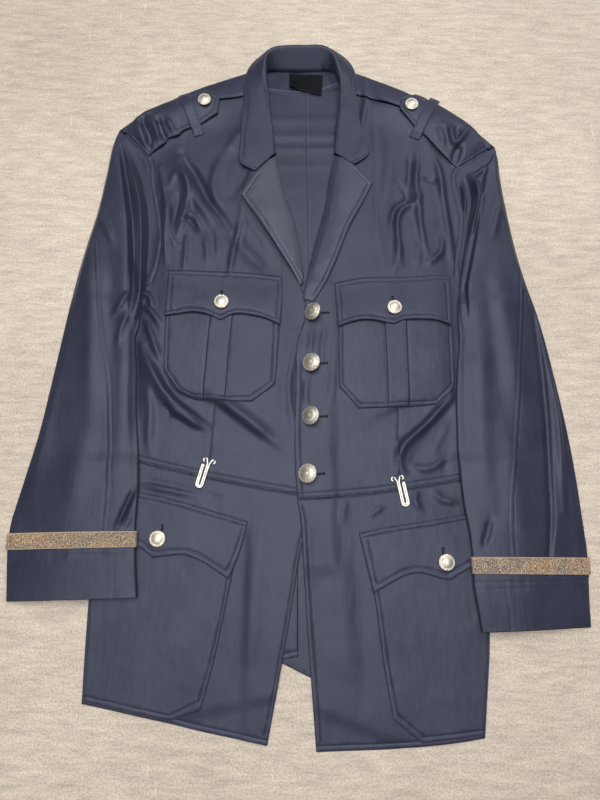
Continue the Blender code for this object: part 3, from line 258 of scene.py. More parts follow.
SLEEVE_CREASES = rows(Crease, (
    (6.0, 5, 6, ((-231, 284), (-224, 264), (-213, 232), (-204, 205), (-198, 176),
                 (-195, 143), (-193, 112), (-192, 70), (-196, 34))),
    (-5.0, 5, 5, ((-216, 278), (-209, 258), (-200, 232), (-191, 208), (-187, 176),
                  (-185, 143), (-186, 108), (-187, 62))),
    (-4.6, 4, 5, ((-234, 275), (-226, 249), (-218, 210), (-210, 166), (-205, 120),
                  (-204, 66))),
    (3.0, 4, 4, ((-212, 274), (-201, 257), (-193, 239), (-189, 218))),
    (2.0, 5, 5, ((-224, 240), (-216, 200), (-209, 160))),
    (1.6, 18, 15, ((-262, 150), (-252, 60), (-240, -60), (-236, -100))),
    (1.4, 14, 13, ((-212, 90), (-206, 0), (-200, -100), (-198, -170))),
    (-1.0, 17, 17, ((-232, 110), (-226, 20), (-222, -70))),
    (1.2, 15, 15, ((-288, -20), (-294, -110), (-298, -190))),
    (1.0, 18, 18, ((-240, -90), (-246, -150), (-250, -212))),
    (1.2, 5, 6, ((-258, 180), (-250, 168), (-238, 150), (-230, 128))),
    (1.6, 4, 5, ((-204, 66), (-212, 48), (-222, 34))),
    (1.2, 4, 5, ((-200, 40), (-210, 20), (-214, -6))),
    (6.0, 5, 5, ((222, 240), (230, 221), (232, 202), (227, 176), (220, 148))),
    (-5.6, 4, 5, ((216, 238), (221, 214), (223, 194), (219, 174), (213, 150),
                  (208, 126))),
    (-4.0, 4, 4, ((222, 238), (234, 247), (246, 254), (257, 264))),
    (2.6, 4, 4, ((226, 230), (240, 240), (252, 252))),
    (3.0, 4, 4, ((213, 226), (215, 206), (213, 182), (208, 160))),
    (1.4, 18, 18, ((244, 160), (248, 60), (258, -60), (262, -110))),
    (1.2, 14, 14, ((222, 40), (216, -40), (212, -130), (214, -190))),
    (-0.9, 15, 15, ((236, 90), (236, 0), (238, -90))),
    (-3.6, 3.5, 4, ((288, 60), (290, 20), (291, -40), (290, -100), (286, -160),
                    (283, -205), (277, -238), (272, -266))),
    (2.4, 5, 6, ((293, 70), (300, 10), (303, -60), (302, -130), (298, -200))),
    (1.2, 16, 16, ((240, -110), (243, -170), (246, -240))),
    (-1.6, 4, 5, ((214, -208), (210, -222), (203, -240))),
    (2.6, 3, 4, ((-180, -172), (-186, -190), (-192, -205), (-197, -218))),
    (-3.0, 3, 3, ((-176, -180), (-181, -203), (-188, -216))),
    (1.4, 5, 6, ((262, 190), (254, 170), (246, 140)))))


# ---------------------------------------------------------------- small mathematics

crease_lines = {}


def smooth(t):
    t = np.clip(t, 0.0, 1.0)
    return t * t * (3.0 - 2.0 * t)


def lerp(a, b, t):
    return a + (b - a) * t


def across(pairs, y):
    """The x of a line given as (y, x) pairs."""
    ordered = sorted(pairs)
    return np.interp(y, [p[0] for p in ordered], [p[1] for p in ordered])


def spline(rows, position):
    """Read a table of equal-length rows as one smooth curve, position in rows."""
    table = np.asarray(rows, float)
    last = len(table) - 1
    index = min(int(position), last - 1)
    t = position - index
    p0, p1 = table[max(index - 1, 0)], table[index]
    p2, p3 = table[index + 1], table[min(index + 2, last)]
    return 0.5 * (2 * p1 + (p2 - p0) * t + (2 * p0 - 5 * p1 + 4 * p2 - p3) * t * t
                  + (3 * p1 - p0 - 3 * p2 + p3) * t ** 3)


def resample(points, step):
    """Points at an even step along a line of straight runs."""
    points = np.asarray(points, float)
    runs = np.hypot(*np.diff(points, axis=0).T)
    walked = np.concatenate(([0.0], np.cumsum(runs)))
    count = max(int(round(walked[-1] / step)), 1)
    at = np.linspace(0.0, walked[-1], count + 1)
    return np.column_stack([np.interp(at, walked, points[:, i]) for i in range(points.shape[1])])


def curve(points, step=2.4):
    """A smooth line through the points, at an even step; two points make it straight."""
    if len(points) > 2:
        fine = [spline(points, i / 8) for i in range(8 * (len(points) - 1) + 1)]
    else:
        fine = points
    return resample(fine, step)


def joined(*runs):
    """An outline from smooth runs that meet at corners."""
    lines = [curve(run) for run in runs]
    whole = np.concatenate([line[:-1] for line in lines] + [lines[-1][-1:]])
    keep = np.hypot(*(whole - np.roll(whole, 1, axis=0)).T) > 0.25
    return whole[keep]


def within(x, y, line, reach):
    """Which places are inside the line's box, grown by reach."""
    return ((x > line[:, 0].min() - reach) & (x < line[:, 0].max() + reach)
            & (y > line[:, 1].min() - reach) & (y < line[:, 1].max() + reach))


def nearest(x, y, line, reach=1e9):
    """Distance to a line, its sign (left is positive), the length walked along it, and all."""
    line = np.asarray(line, float)
    best = np.full(x.shape, 1e9)
    side = np.ones(x.shape)
    walked = np.zeros(x.shape)
    near = within(x, y, line, reach)
    px, py = x[near], y[near]
    b, s, w = best[near], side[near], walked[near]
    done = 0.0
    for (x0, y0), (x1, y1) in zip(line, line[1:]):
        dx, dy = x1 - x0, y1 - y0
        length = math.hypot(dx, dy)
        if length < 1e-6:
            continue
        t = np.clip(((px - x0) * dx + (py - y0) * dy) / length ** 2, 0.0, 1.0)
        gap = np.hypot(px - x0 - t * dx, py - y0 - t * dy)
        closer = gap < b
        b = np.where(closer, gap, b)
        s = np.where(closer, np.sign((py - y0) * dx - (px - x0) * dy), s)
        w = np.where(closer, done + t * length, w)
        done += length
    best[near], side[near], walked[near] = b, s, w
    return best, side, walked, done


def crease_height(creases, x, y):
    """Sum of the creases, each with its own width on its two sides."""
    total = np.zeros(np.shape(x))
    for crease in creases:
        if crease.points not in crease_lines:
            crease_lines[crease.points] = curve(crease.points, 7.0)
        line = crease_lines[crease.points]
        reach = 2.6 * FOLD_WIDTH * max(crease.left, crease.right)
        near = within(x, y, line, reach)
        if not near.any():
            continue
        gap, side, walked, length = nearest(x[near], y[near], line)
        width = FOLD_WIDTH * np.where(side > 0, crease.left, crease.right)
        t = walked / length
        taper = 0.25 + 0.75 * smooth(t / 0.3) * smooth((1 - t) / 0.3)
        total[near] += crease.rise * taper * np.exp(-(gap / width) ** 2)
    return FOLD_DEPTH * total


def unevenness(x, y, size, seed):
    """Smooth noise from -1 to 1 on a lattice of the given size."""
    gx, gy = x / size, y / size
    ix, iy = np.floor(gx), np.floor(gy)
    fx, fy = smooth(gx - ix), smooth(gy - iy)

    def corner(a, b):
        value = np.sin(a * 127.1 + b * 311.7 + seed * 74.7) * 43758.5453
        return 2.0 * (value - np.floor(value)) - 1.0

    low = lerp(corner(ix, iy), corner(ix + 1, iy), fx)
    high = lerp(corner(ix, iy + 1), corner(ix + 1, iy + 1), fx)
    return lerp(low, high, fy)


# ---------------------------------------------------------------- how the layers lie

def back_hem(x):
    """Lower edge of the back skirts, the lower one where they lap at the vent."""
    right = np.interp(x, (-223, 1.5), (-396, -351))
    left = np.interp(x, (-29, 193), (-352, -428))
    return np.where(x < -29, right, np.where(x > 1.5, left, np.minimum(right, left)))


def vent_rise(x, y):
    """A layer more under the fronts where the back skirts lap at the vent."""
    inside = smooth((x + 60) / 12) * smooth((20 - x) / 12)
    return LAYER * inside * smooth((-210 - y) / 14)


def beside_sleeves(x, y):
    """From 0 under the sleeves, which press the body flat, to 1 beside them."""
    free = np.ones(np.shape(x))
    for arm in (RIGHT_ARM, LEFT_ARM):
        past = smooth((arm.toward * (x - across(arm.inner, y)) + 1) / 9)
        free *= 1 - (1 - past) * smooth((66 - y) / 14)
    return free


def belly(x, y):
    """Air under the chest, so that its folds have something to sink into."""
    chest = smooth((y + 105) / 50) * smooth((330 - y) / 60)
    sides = smooth((x - across(RIGHT_SIDE, y) - 4) / 34)
    sides *= smooth((across(LEFT_SIDE, y) - x - 4) / 34)
    return 3.4 * chest * sides * smooth((np.abs(x - 14) - 8) / 40)


def front_top(x, y):
    """Upper side of the fronts, with their creases; troughs get shallower as they deepen."""
    base = LAYER * smooth((y - back_hem(x) + 44) / 16) + CLOTH
    free = beside_sleeves(x, y)
    folds = (crease_height(BODY_CREASES, x, y) + belly(x, y)) * free
    folds += 0.35 * unevenness(x, y, 34, 1) + 0.16 * unevenness(x, y, 13, 2)
    folds = np.where(folds < 0, -CLOTH * (1 - np.exp(folds / CLOTH)), folds)
    return base + vent_rise(x, y) + folds


def lap_rise(x, y):
    """A layer more where the left front lies over the right one."""
    along = smooth((94 - y) / 20) * smooth((y + 275) / 20)
    return (LAYER + GAP) * along * smooth((50 - x) / 14)


def left_front_top(x, y):
    return front_top(x, y) + lap_rise(x, y)


def armhole_point(seam, share):
    """The place at a share of the way along an armhole seam."""
    return spline(seam, share * (len(seam) - 1))


def armhole_line(arm, start, end, step=2.4):
    """The body's side of an armhole seam."""
    line = np.array([armhole_point(arm.armhole, lerp(start, end, i / 90)) for i in range(91)])
    line[:, 0] += arm.toward * 0.4
    return resample(line, step)


# ---------------------------------------------------------------- materials

def rgba(color):
    """A colour from its three parts, or a grey from one."""
    return (color,) * 3 + (1,) if isinstance(color, (int, float)) else tuple(color) + (1,)


def fill(made, values):
    """Set a node's inputs and settings; an underscore in an input's name is a space."""
    for key, value in values.items():
        socket = made.inputs.get(key.replace("_", " "))
        if socket is None:
            setattr(made, key, value)
        else:
            socket.default_value = value


def node(tree, kind, source=None, into="Vector", **values):
    """A shader node, with a source linked into one of its inputs."""
    made = tree.nodes.new(kind)
    fill(made, values)
    if source is not None:
        tree.links.new(source, made.inputs[into])
    return made


def start_material(name, **values):
    material = bpy.data.materials.new(name)
    material.use_nodes = True
    tree = material.node_tree
    shader = tree.nodes["Principled BSDF"]
    fill(shader, values)
    return material, tree, shader, node(tree, "ShaderNodeTexCoord").outputs["Object"]


def scaled(tree, place, scale, turn=0.0):
    return node(tree, "ShaderNodeMapping", place, Scale=scale,
                Rotation=(0.0, 0.0, turn)).outputs["Vector"]


def noise(tree, vector, scale, detail=3.0, roughness=0.5):
    return node(tree, "ShaderNodeTexNoise", vector, Scale=scale, Detail=detail,
                Roughness=roughness).outputs["Fac"]


def bands(tree, vector, direction, **values):
    return node(tree, "ShaderNodeTexWave", vector, wave_type="BANDS",
                bands_direction=direction, **values).outputs["Fac"]


def ramp(tree, value, *stops):
    made = node(tree, "ShaderNodeValToRGB", value, "Fac")
    elements = made.color_ramp.elements
    while len(elements) < len(stops):
        elements.new(0.5)
    for element, (position, color) in zip(elements, stops):
        element.position = position
        element.color = rgba(color)
    return made.outputs["Color"]


def mixed(tree, factor, first, second, blend="MIX"):
    made = node(tree, "ShaderNodeMix", data_type="RGBA", blend_type=blend)
    for index, value in ((0, factor), (6, first), (7, second)):
        if isinstance(value, (float, tuple)):
            made.inputs[index].default_value = rgba(value) if index else value
        else:
            tree.links.new(value, made.inputs[index])
    return made.outputs[2]


def worn(tree, shader, tone, color):
    """Show the tone, and the other colour where a piece is worn."""
    wear = node(tree, "ShaderNodeVertexColor", layer_name="wear").outputs["Color"]
    tree.links.new(mixed(tree, wear, tone, color), shader.inputs["Base Color"])


def bumped(tree, shader, *layers):
    """Bump the shader's normal by (height, strength, distance in metres) layers."""
    normal = None
    for height, strength, distance in layers:
        bump = node(tree, "ShaderNodeBump", height, "Height", Strength=strength,
                    Distance=distance)
        if normal is not None:
            tree.links.new(normal, bump.inputs["Normal"])
        normal = bump.outputs["Normal"]
    tree.links.new(normal, shader.inputs["Normal"])


NAVY_DARK = (0.0115, 0.0130, 0.0285)
NAVY_LIGHT = (0.0205, 0.0225, 0.0440)


def navy_twill(name, turn=0, dark=NAVY_DARK, light=NAVY_LIGHT, rough=0.50, sheen=0.15,
               gloss=0.52):
    """Gabardine, turned by degrees: steep fine twill, soft sheen, clouds, paler worn edges."""
    material, tree, shader, place = start_material(
        name, Roughness=rough, Specular_IOR_Level=gloss, Specular_Tint=(0.74, 0.80, 1.0, 1.0),
        Sheen_Weight=sheen, Sheen_Roughness=0.38, Sheen_Tint=(0.62, 0.66, 0.82, 1.0))
    turn = math.radians(turn)
    twill = bands(tree, scaled(tree, place, (1.0, 1.0, 1.0), turn + math.radians(27)), "X",
                  Scale=330.0, Distortion=0.6, Detail=1.0, Detail_Scale=2.0)
    slub = noise(tree, scaled(tree, place, (2600.0, 240.0, 900.0), turn), 1.0, 2.0)
    streaks = noise(tree, scaled(tree, place, (260.0, 38.0, 90.0), turn), 1.0, 3.0)
    tone = ramp(tree, noise(tree, place, 22.0, 4.0), (0.3, dark), (0.72, light))
    flecks = ramp(tree, slub, (0.35, (0.86, 0.86, 0.88)), (0.7, (1.16, 1.15, 1.13)))
    tone = mixed(tree, 0.5, tone, flecks, "MULTIPLY")
    ribs = ramp(tree, twill, (0.2, (0.8, 0.8, 0.82)), (0.8, 1.1))
    tone = mixed(tree, 0.35, tone, ribs, "MULTIPLY")
    worn(tree, shader, tone, tuple(min(c * 1.75 + 0.004, 1.0) for c in light))
    bumped(tree, shader, (twill, 0.35, 0.00012), (slub, 0.25, 0.00012),
           (streaks, 0.30, 0.0008), (noise(tree, place, 95.0, 3.0), 0.22, 0.0007))
    return material


def braid_tweed(name):
    """Flat woven braid: mixed tan, brown and grey yarns with paler selvedges and glints."""
    material, tree, shader, place = start_material(name, Roughness=0.78, Sheen_Weight=0.25)
    flecks = noise(tree, scaled(tree, place, (880.0, 1050.0, 880.0)), 1.0, 2.0, 0.75)
    tone = ramp(tree, flecks, (0.34, (0.022, 0.018, 0.017)), (0.43, (0.085, 0.062, 0.050)),
                (0.50, (0.21, 0.155, 0.115)), (0.58, (0.36, 0.29, 0.21)),
                (0.68, (0.66, 0.54, 0.37)))
    patches = noise(tree, scaled(tree, place, (34.0, 60.0, 34.0)), 1.0, 3.0, 0.6)
    cloud = ramp(tree, patches, (0.38, (0.82, 0.84, 0.98)), (0.62, (1.30, 1.12, 0.86)))
    worn(tree, shader, mixed(tree, 0.85, tone, cloud, "MULTIPLY"), (0.50, 0.38, 0.25))
    yarns = bands(tree, place, "Y", Scale=160.0, Distortion=3.0, Detail=2.0)
    bumped(tree, shader, (yarns, 0.25, 0.0003), (flecks, 0.9, 0.0006))
    return material


def metal(name, bright, deep, rough, tarnish):
    """Cast metal: bright on what stands up, dull and warm in the relief."""
    material, tree, shader, place = start_material(name, Metallic=1.0)
    stain = noise(tree, place, 260.0, 4.0, 0.6)
    worn(tree, shader, ramp(tree, stain, (0.35, deep), (0.62, bright)), tarnish)
    gloss = ramp(tree, stain, (0.3, rough + 0.16), (0.7, rough))
    tree.links.new(gloss, shader.inputs["Roughness"])
    bumped(tree, shader, (noise(tree, place, 900.0, 2.0), 0.2, 0.00015))
    return material


def thread_material(name, color):
    material, tree, shader, place = start_material(name, Roughness=0.7, Specular_IOR_Level=0.15)
    tone = ramp(tree, noise(tree, place, 700.0, 2.0), (0.3, tuple(c * 0.7 for c in color)),
                (0.7, tuple(c * 1.3 for c in color)))
    tree.links.new(tone, shader.inputs["Base Color"])
    return material


navy = navy_twill("navy_twill")
navy_sleeves = {"right": navy_twill("navy_twill_sleeve_right", -9),
                "left": navy_twill("navy_twill_sleeve_left", 8)}
# lapel cloth: the body's navy painted paler as painted sheen for how each lapel faces the lights,
# the right lapel much paler, the left a little
lapel_navy_painted_sheen = {
    "right": navy_twill("navy_twill_lapel_right", 52, (0.0330, 0.0345, 0.0520),
                        (0.0430, 0.0445, 0.0650), 0.46, 0.25),
    "left": navy_twill("navy_twill_lapel_left", -52, (0.0220, 0.0235, 0.0410),
                       (0.0290, 0.0305, 0.0520), 0.48, 0.2)}
navy_collar = navy_twill("navy_twill_collar", 40)
inside = navy_twill("navy_wrong_side", 0, (0.0075, 0.0090, 0.0210), (0.0120, 0.0140, 0.0300),
                    0.46, 0.1)
label_black = navy_twill("label_satin", 63, (0.0020, 0.0022, 0.0026), (0.0040, 0.0042, 0.0048),
                         0.62, 0.0, 0.12)
braid = braid_tweed("braid_tweed")
silver = metal("button_silver", (0.80, 0.77, 0.69), (0.60, 0.56, 0.47), 0.42,
               (0.20, 0.17, 0.125))
steel = metal("hook_steel", (0.86, 0.84, 0.80), (0.70, 0.67, 0.61), 0.30, (0.25, 0.20, 0.15))
thread = thread_material("dark_thread", (0.0035, 0.0030, 0.0055))
hole_thread = thread_material("buttonhole_thread", (0.0016, 0.0015, 0.0022))


# ---------------------------------------------------------------- making pieces

pieces = {}
stitch_lines = []


def wear_layer(mesh, values):
    """Store how worn each point is, for the materials."""
    layer = mesh.color_attributes.new("wear", "FLOAT_COLOR", "POINT")
    colors = np.ones((len(values), 4), np.float32)
    colors[:, :3] = np.clip(values, 0.0, 1.0)[:, None]
    layer.data.foreach_set("color", colors.ravel())


def add_piece(name, points, faces, material, nodes, wear=None, thickness=0.0,
              body="jacket"):
    """Link a mesh given in millimetres; its cloth is added below the given surface."""
    mesh = bpy.data.meshes.new(name)
    mesh.from_pydata([tuple(p) for p in np.asarray(points) * MM], [], faces)
    mesh.update()
    mesh.shade_smooth()
    wear_layer(mesh, np.zeros(len(points)) if wear is None else wear)
    mesh.materials.append(material)
    made = bpy.data.objects.new(name, mesh)
    bpy.context.scene.collection.objects.link(made)
    pieces[name] = BVHTree.FromPolygons([tuple(p) for p in np.asarray(points)], faces)
    if thickness:
        wall = made.modifiers.new("Cloth", "SOLIDIFY")
        wall.thickness = thickness * MM
        wall.offset = -1.0
        wall.use_even_offset = False
    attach(made, body)
    if nodes:
        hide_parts(*nodes)
    return made


def inside_outline(x, y, outline):
    odd = np.zeros(x.shape, bool)
    ends = np.roll(outline, -1, axis=0)
    for (x0, y0), (x1, y1) in zip(outline, ends):
        if y0 == y1:
            continue
        cross = ((y0 > y) != (y1 > y)) & (x < (x1 - x0) * (y - y0) / (y1 - y0) + x0)
        odd ^= cross
    return odd


def offset_line(line, distance, closed=False):
    """The line moved to its left."""
    if closed:
        run = np.roll(line, -1, axis=0) - np.roll(line, 1, axis=0)
    else:
        run = np.gradient(line, axis=0)
    run /= np.maximum(np.hypot(*run.T), 1e-9)[:, None]
    return line + np.column_stack((-run[:, 1], run[:, 0])) * distance


def laid(name, points, faces, material, wear, thickness):
    made = add_piece(name + "_cloth", points, faces, material, [name], wear, thickness)


def panel(name, outline, top, material=navy, slot="navy_cloth", seams=(), sewn=slice(None),
          thickness=1.0, spacing=3.0, roll=1.1, rests_on=(), raw=False):
    """A cloth panel of any outline: fine at its edges and seams, lying at top(x, y).

    Each seam is a groove, and the sewn ones get stitches later.
    """
    area = 0.5 * np.sum(outline[:, 0] * np.roll(outline[:, 1], -1)
                        - np.roll(outline[:, 0], -1) * outline[:, 1])
    if area < 0:
        outline = outline[::-1]
    lines = [resample(seam, LINE_STEP) if raw else curve(seam, LINE_STEP) for seam in seams]
    stitch_lines.extend((name + "_cloth", line) for line in lines[sewn])
    extra = [offset_line(outline, d, closed=True) for d in (0.5, EDGE_ROLL)]
    for line in lines:
        extra += [offset_line(line, d) for d in (0.0, -0.7, 0.7, -1.6, 1.6)]
    low, high = outline.min(0), outline.max(0)
    rise = spacing * 0.866
    grid = []
    for row in range(int((high[1] - low[1]) / rise) + 1):
        xs = np.arange(low[0] + (row % 2) * spacing / 2, high[0], spacing)
        grid.append(np.column_stack((xs, np.full(xs.shape, low[1] + row * rise))))
    grid = np.concatenate(grid)
    ring = np.vstack((outline, outline[:1]))
    kept = []
    for chunk, clear in [(e, 0.35) for e in extra] + [(grid, 2.6)]:
        gap = nearest(chunk[:, 0], chunk[:, 1], ring)[0]
        good = inside_outline(chunk[:, 0], chunk[:, 1], outline) & (gap > clear)
        if chunk is grid:
            for line in lines:
                good &= nearest(grid[:, 0], grid[:, 1], line)[0] > 2.8
        kept.append(chunk[good])
    candidates = np.concatenate(kept)
    cells = {}
    chosen = []
    for p in outline:
        cells[(round(p[0] / CELL), round(p[1] / CELL))] = True
    for p in candidates:
        key = (round(p[0] / CELL), round(p[1] / CELL))
        if key not in cells:
            cells[key] = True
            chosen.append(p)
    flat_points = [Vector(p) for p in outline] + [Vector(p) for p in chosen]
    result = geometry.delaunay_2d_cdt(
        flat_points, [], [list(range(len(outline)))], 1, 1e-4, False)
    xy = np.array([tuple(v) for v in result[0]])
    x, y = xy[:, 0], xy[:, 1]
    triangles = np.array([tuple(f) for f in result[2] if len(f) == 3])
    middle = xy[triangles].mean(1)
    triangles = triangles[inside_outline(middle[:, 0], middle[:, 1], outline)]
    z = top(x, y)
    edge = nearest(x, y, ring)[0]
    z = z - roll * np.clip(1 - edge / EDGE_ROLL, 0, 1) ** 2
    z = z + 0.12 * unevenness(x, y / 3.5, 4.2, 21) + 0.07 * unevenness(x, y, 5.5, 22)
    wear = 0.55 * np.exp(-(edge / 1.3) ** 2)
    for index, line in enumerate(lines):
        gap, _, walked, _ = nearest(x, y, line, 9.0)
        tug = unevenness(walked, np.zeros(x.shape), 5.0, 11 + index)
        z = z - GROOVE_DEPTH * np.exp(-(gap / GROOVE_WIDTH) ** 2)
        z = z + PUCKER * tug * np.exp(-(gap / 3.0) ** 2)
        wear = np.maximum(wear, 0.25 * np.exp(-((gap - 2.2) / 1.1) ** 2))
    wear *= 0.65 + 0.35 * unevenness(x, y, 9, 5)
    laid(name, np.column_stack((x, y, np.maximum(z, LOWEST))), triangles.tolist(), material,
         wear, thickness)


def loft(name, rings, material, closed, thickness=0.9, wear=None,
         flip=False):
    """A cloth surface through rows of points."""
    rings = np.asarray(rings, float)
    rows, count = rings.shape[:2]
    faces = []
    for r in range(rows - 1):
        for i in range(count if closed else count - 1):
            j = (i + 1) % count
            quad = (r * count + i, r * count + j, (r + 1) * count + j, (r + 1) * count + i)
            faces.append(quad[::-1] if flip else quad)
    laid(name, rings.reshape(-1, 3), faces, material, np.asarray(wear).ravel(), thickness)


# ---------------------------------------------------------------- body panels

WAIST_BOW = -16


def waist_line(left_x, left_y, right_x, right_y):
    """The slightly bowed seam across a front."""
    run = np.array((right_x - left_x, right_y - left_y))
    side = np.array((-run[1], run[0])) / math.hypot(*run)
    return [np.array((left_x, left_y)) + run * t + side * WAIST_BOW * t * (1 - t)
            for t in np.linspace(0, 1, 9)]


def side_line(arm, start_y, end_y):
    """The body's side seam, upwards or downwards."""
    ys = np.linspace(start_y, end_y, 24)
    return np.column_stack((across(arm.side, ys) + 0.3 * arm.toward, ys))


def make_fronts():
    for arm, edge, neck, waist, top, name, dart in (
            (RIGHT_ARM, RIGHT_FRONT_EDGE, ((-45, 276), (-51, 294), (-58, 322), (-62, 361)),
             waist_line(-218, -134, 23, -184), front_top, "right",
             [(-97, -73), (-98, -95), (-99, -119), (-101, -140)]),
            (LEFT_ARM, LEFT_FRONT_EDGE, ((66, 278), (69, 294), (74, 322), (76, 361)),
             waist_line(0, -186.5, 206, -161)[::-1], left_front_top, "left",
             [(119, -83), (118, -100), (117, -121), (116.5, -140), (116, -160)])):
        hole = offset_line(armhole_line(arm, FRONT_START, 1.0), -1.0 * arm.toward)
        shoulder = (neck[-1], lerp(np.array(neck[-1]), hole[0], 0.5) + (0, 3), hole[0])
        sides = side_line(arm, arm.armhole[-1][1] - 0.5, waist[0][1])
        line = [(x, y) for y, x in edge]
        seams = [offset_line(resample(hole, 4), TOP_STITCH * arm.toward)[3:-3],
                 [(p[0], p[1] + 7.0) for p in waist],
                 [(p[0], p[1] + 1.8) for p in waist]]
        if name == "left":
            seams.append([(p[0] + TOP_STITCH, p[1]) for p in curve(line)[:70:4]])
        panel("front_upper_" + name, joined(shoulder, hole[::6], sides[::4], waist, line, neck),
              top, seams=seams + [dart], rests_on=["back_upper_" + name])


def make_skirts():
    right = joined(waist_line(-218, -134.8, 23, -184.8),
                   [(23, -184.8), (12, -215), (3, -250), (-5, -300), (-16, -362), (-30, -436)],
                   [(-30, -436), (-62, -430), (-98, -423), (-134, -415), (-182, -405),
                    (-223, -397)],
                   [(-223, -397), (-224, -359), (-225, -296), (-224, -253), (-221, -187),
                    (-218, -134.8)])
    hem = [(-31, -430.5), (-62, -424.5), (-98, -417.5), (-134, -409.5), (-182, -399.5),
           (-222, -391.5)]
    panel("front_skirt_right", right, front_top,
          seams=[hem, [(21, -192), (8, -215), (-1, -250), (-9, -300), (-20, -362), (-33, -425)]],
          rests_on=["back_skirt_right"])
    left = joined(waist_line(0, -187.3, 206, -161.8),
                  [(206, -161.8), (207, -205), (207, -262), (206, -328), (199, -386),
                   (193, -429)],
                  [(193, -429), (166, -433), (128, -437), (91, -439.5), (47, -441), (20, -442)],
                  [(20, -442), (16, -388), (11, -320), (7, -256), (4, -212), (0, -187.3)])
    hem = [(193, -423.5), (166, -427.5), (128, -431.5), (91, -434), (47, -435.5), (21, -436.5)]
    panel("front_skirt_left", left, left_front_top,
          seams=[hem, [(6, -194), (10, -212), (13, -256), (17, -320), (22, -388), (25, -432)]],
          rests_on=["back_skirt_left", "front_skirt_right"])


CENTRE_BACK = ((12.2, -160), (13.2, -60), (13.7, 90), (13.4, 170), (11.6, 270), (9.6, 404))
# across the back of the neck folds lie: height, place and width, the last one a hollow
NECK_FOLDS = ((1.0, 296, 4), (1.1, 276, 3), (0.8, 322, 5), (0.6, 250, 4), (-0.8, 286, 2.5))
# the strip over the shoulder: its start's share of the armhole, its end, its bow and its rise
RIGHT_STRIP = ((0.03, -65, 393, 7, 0), (0.012, -66, 397, 8, 0.25), (0.008, -66, 398, 8, 0.6),
               (0.015, -65, 395, 8, 0.93), (0.026, -64, 389, 7, 1), (0.05, -62, 361.4, 3, 1))
LEFT_STRIP = ((0.03, 76, 393, -9, 0), (0.012, 77, 397, -11, 0.25), (0.008, 77, 398, -11, 0.6),
              (0.015, 77, 395, -11, 0.93), (0.026, 77, 389, -9, 1), (0.05, 76, 361.4, -3, 1))


def make_backs():
    """The backs with the strip that comes over the shoulder to the forward seam."""
    columns = 64
    t = 1 - (1 - np.linspace(0, 1, columns + 1)) ** 1.5
    for name, arm, shift, neck, shoulder, waist_y in (
            ("right", RIGHT_ARM, 0.0, ((-40, 403), (-64, 396)), RIGHT_STRIP, -134),
            ("left", LEFT_ARM, -0.3, ((48, 403), (75, 396)), LEFT_STRIP, -161)):
        centre = [(y, x + shift) for x, y in CENTRE_BACK]
        hole = armhole_line(arm, 0.12, 1.0, 6.0)[::-1]
        outer = list(side_line(arm, waist_y, arm.armhole[-1][1])[::2]) + list(hole)
        outer = list(resample(np.array(outer), 3.2))
        inner = resample([(x, y) for y, x in centre] + list(neck), 1.0)
        rings, wear = [], []
        for index, point in enumerate(outer):
            end = inner[int(index / (len(outer) - 1) * (len(inner) - 1))]
            x, y = lerp(point[0], end[0], t), lerp(point[1], end[1], t)
            seam = np.abs(x - across(centre, y))
            z = sum(rise * np.exp(-((y - at) / width) ** 2) for rise, at, width in NECK_FOLDS)
            z += 0.4 * unevenness(x, y, 30, 3) + 0.15 * unevenness(x, y, 9, 4)
            z = (z + 0.9) * smooth((y - 150) / 60) * smooth((385 - y) / 20)
            z *= smooth((np.abs(x - point[0])) / 20)
            lines = 0.5 * np.exp(-((seam - 5.0) / 0.9) ** 2) + 0.5 * np.exp(-(seam / 0.9) ** 2)
            rings.append(np.column_stack((x, y, np.maximum(z - lines, 0) + 0.9)))
            wear.append(0.2 * np.exp(-((seam - 2.5) / 1.5) ** 2))
        for step in range(21):
            share, neck_x, neck_y, bow, rise = spline(shoulder, step / 4)
            start = armhole_point(arm.armhole, max(share, 0.004)) + (0.4 * arm.toward, 0.4)
            run = np.array((neck_x, neck_y)) - start
            side = np.array((-run[1], run[0])) / math.hypot(*run) * arm.toward
            x, y = (start[i] + run[i] * t + side[i] * abs(bow) * 4 * t * (1 - t) for i in (0, 1))
            rings.append(np.column_stack((x, y, np.clip(rise, 0, 1) * front_top(x, y))))
            wear.append(np.full(columns + 1, 0.25 * math.exp(-((step - 19) / 1.5) ** 2)))
        loft("back_upper_" + name, rings, navy, False,
             wear=wear, flip=arm.toward < 0)
    plain = {"roll": 0.4, "thickness": 0.9, "spacing": 7, "sewn": slice(0)}
    right = joined([(-218, -134.6), (11.6, -160.6)],
                   [(11.6, -160.6), (11.6, -225), (2, -239), (1.5, -296), (1.5, -351)],
                   [(1.5, -351), (-223, -396)],
                   [(-223, -396), (-225, -296), (-222, -225), (-218, -134.6)])
    panel("back_skirt_right", right,
          lambda x, y: 1.0 + LAYER * smooth((x + 48) / 14) * smooth((-224 - y) / 9),
          inside, seams=[[(0, -346), (-60, -358)]], **plain)
    left = joined([(12.2, -160.6), (206, -161.6)],
                  [(206, -161.6), (207, -240), (207, -300), (193, -428)],
                  [(193, -428), (82, -400), (-29, -352)], [(-29, -352), (-29, -242)],
                  [(-29, -242), (12.2, -236)], [(12.2, -236), (12.2, -160.6)])
    panel("back_skirt_left", left, lambda x, y: np.full(x.shape, 1.0), inside, **plain)


# ---------------------------------------------------------------- collar, lapels, neck

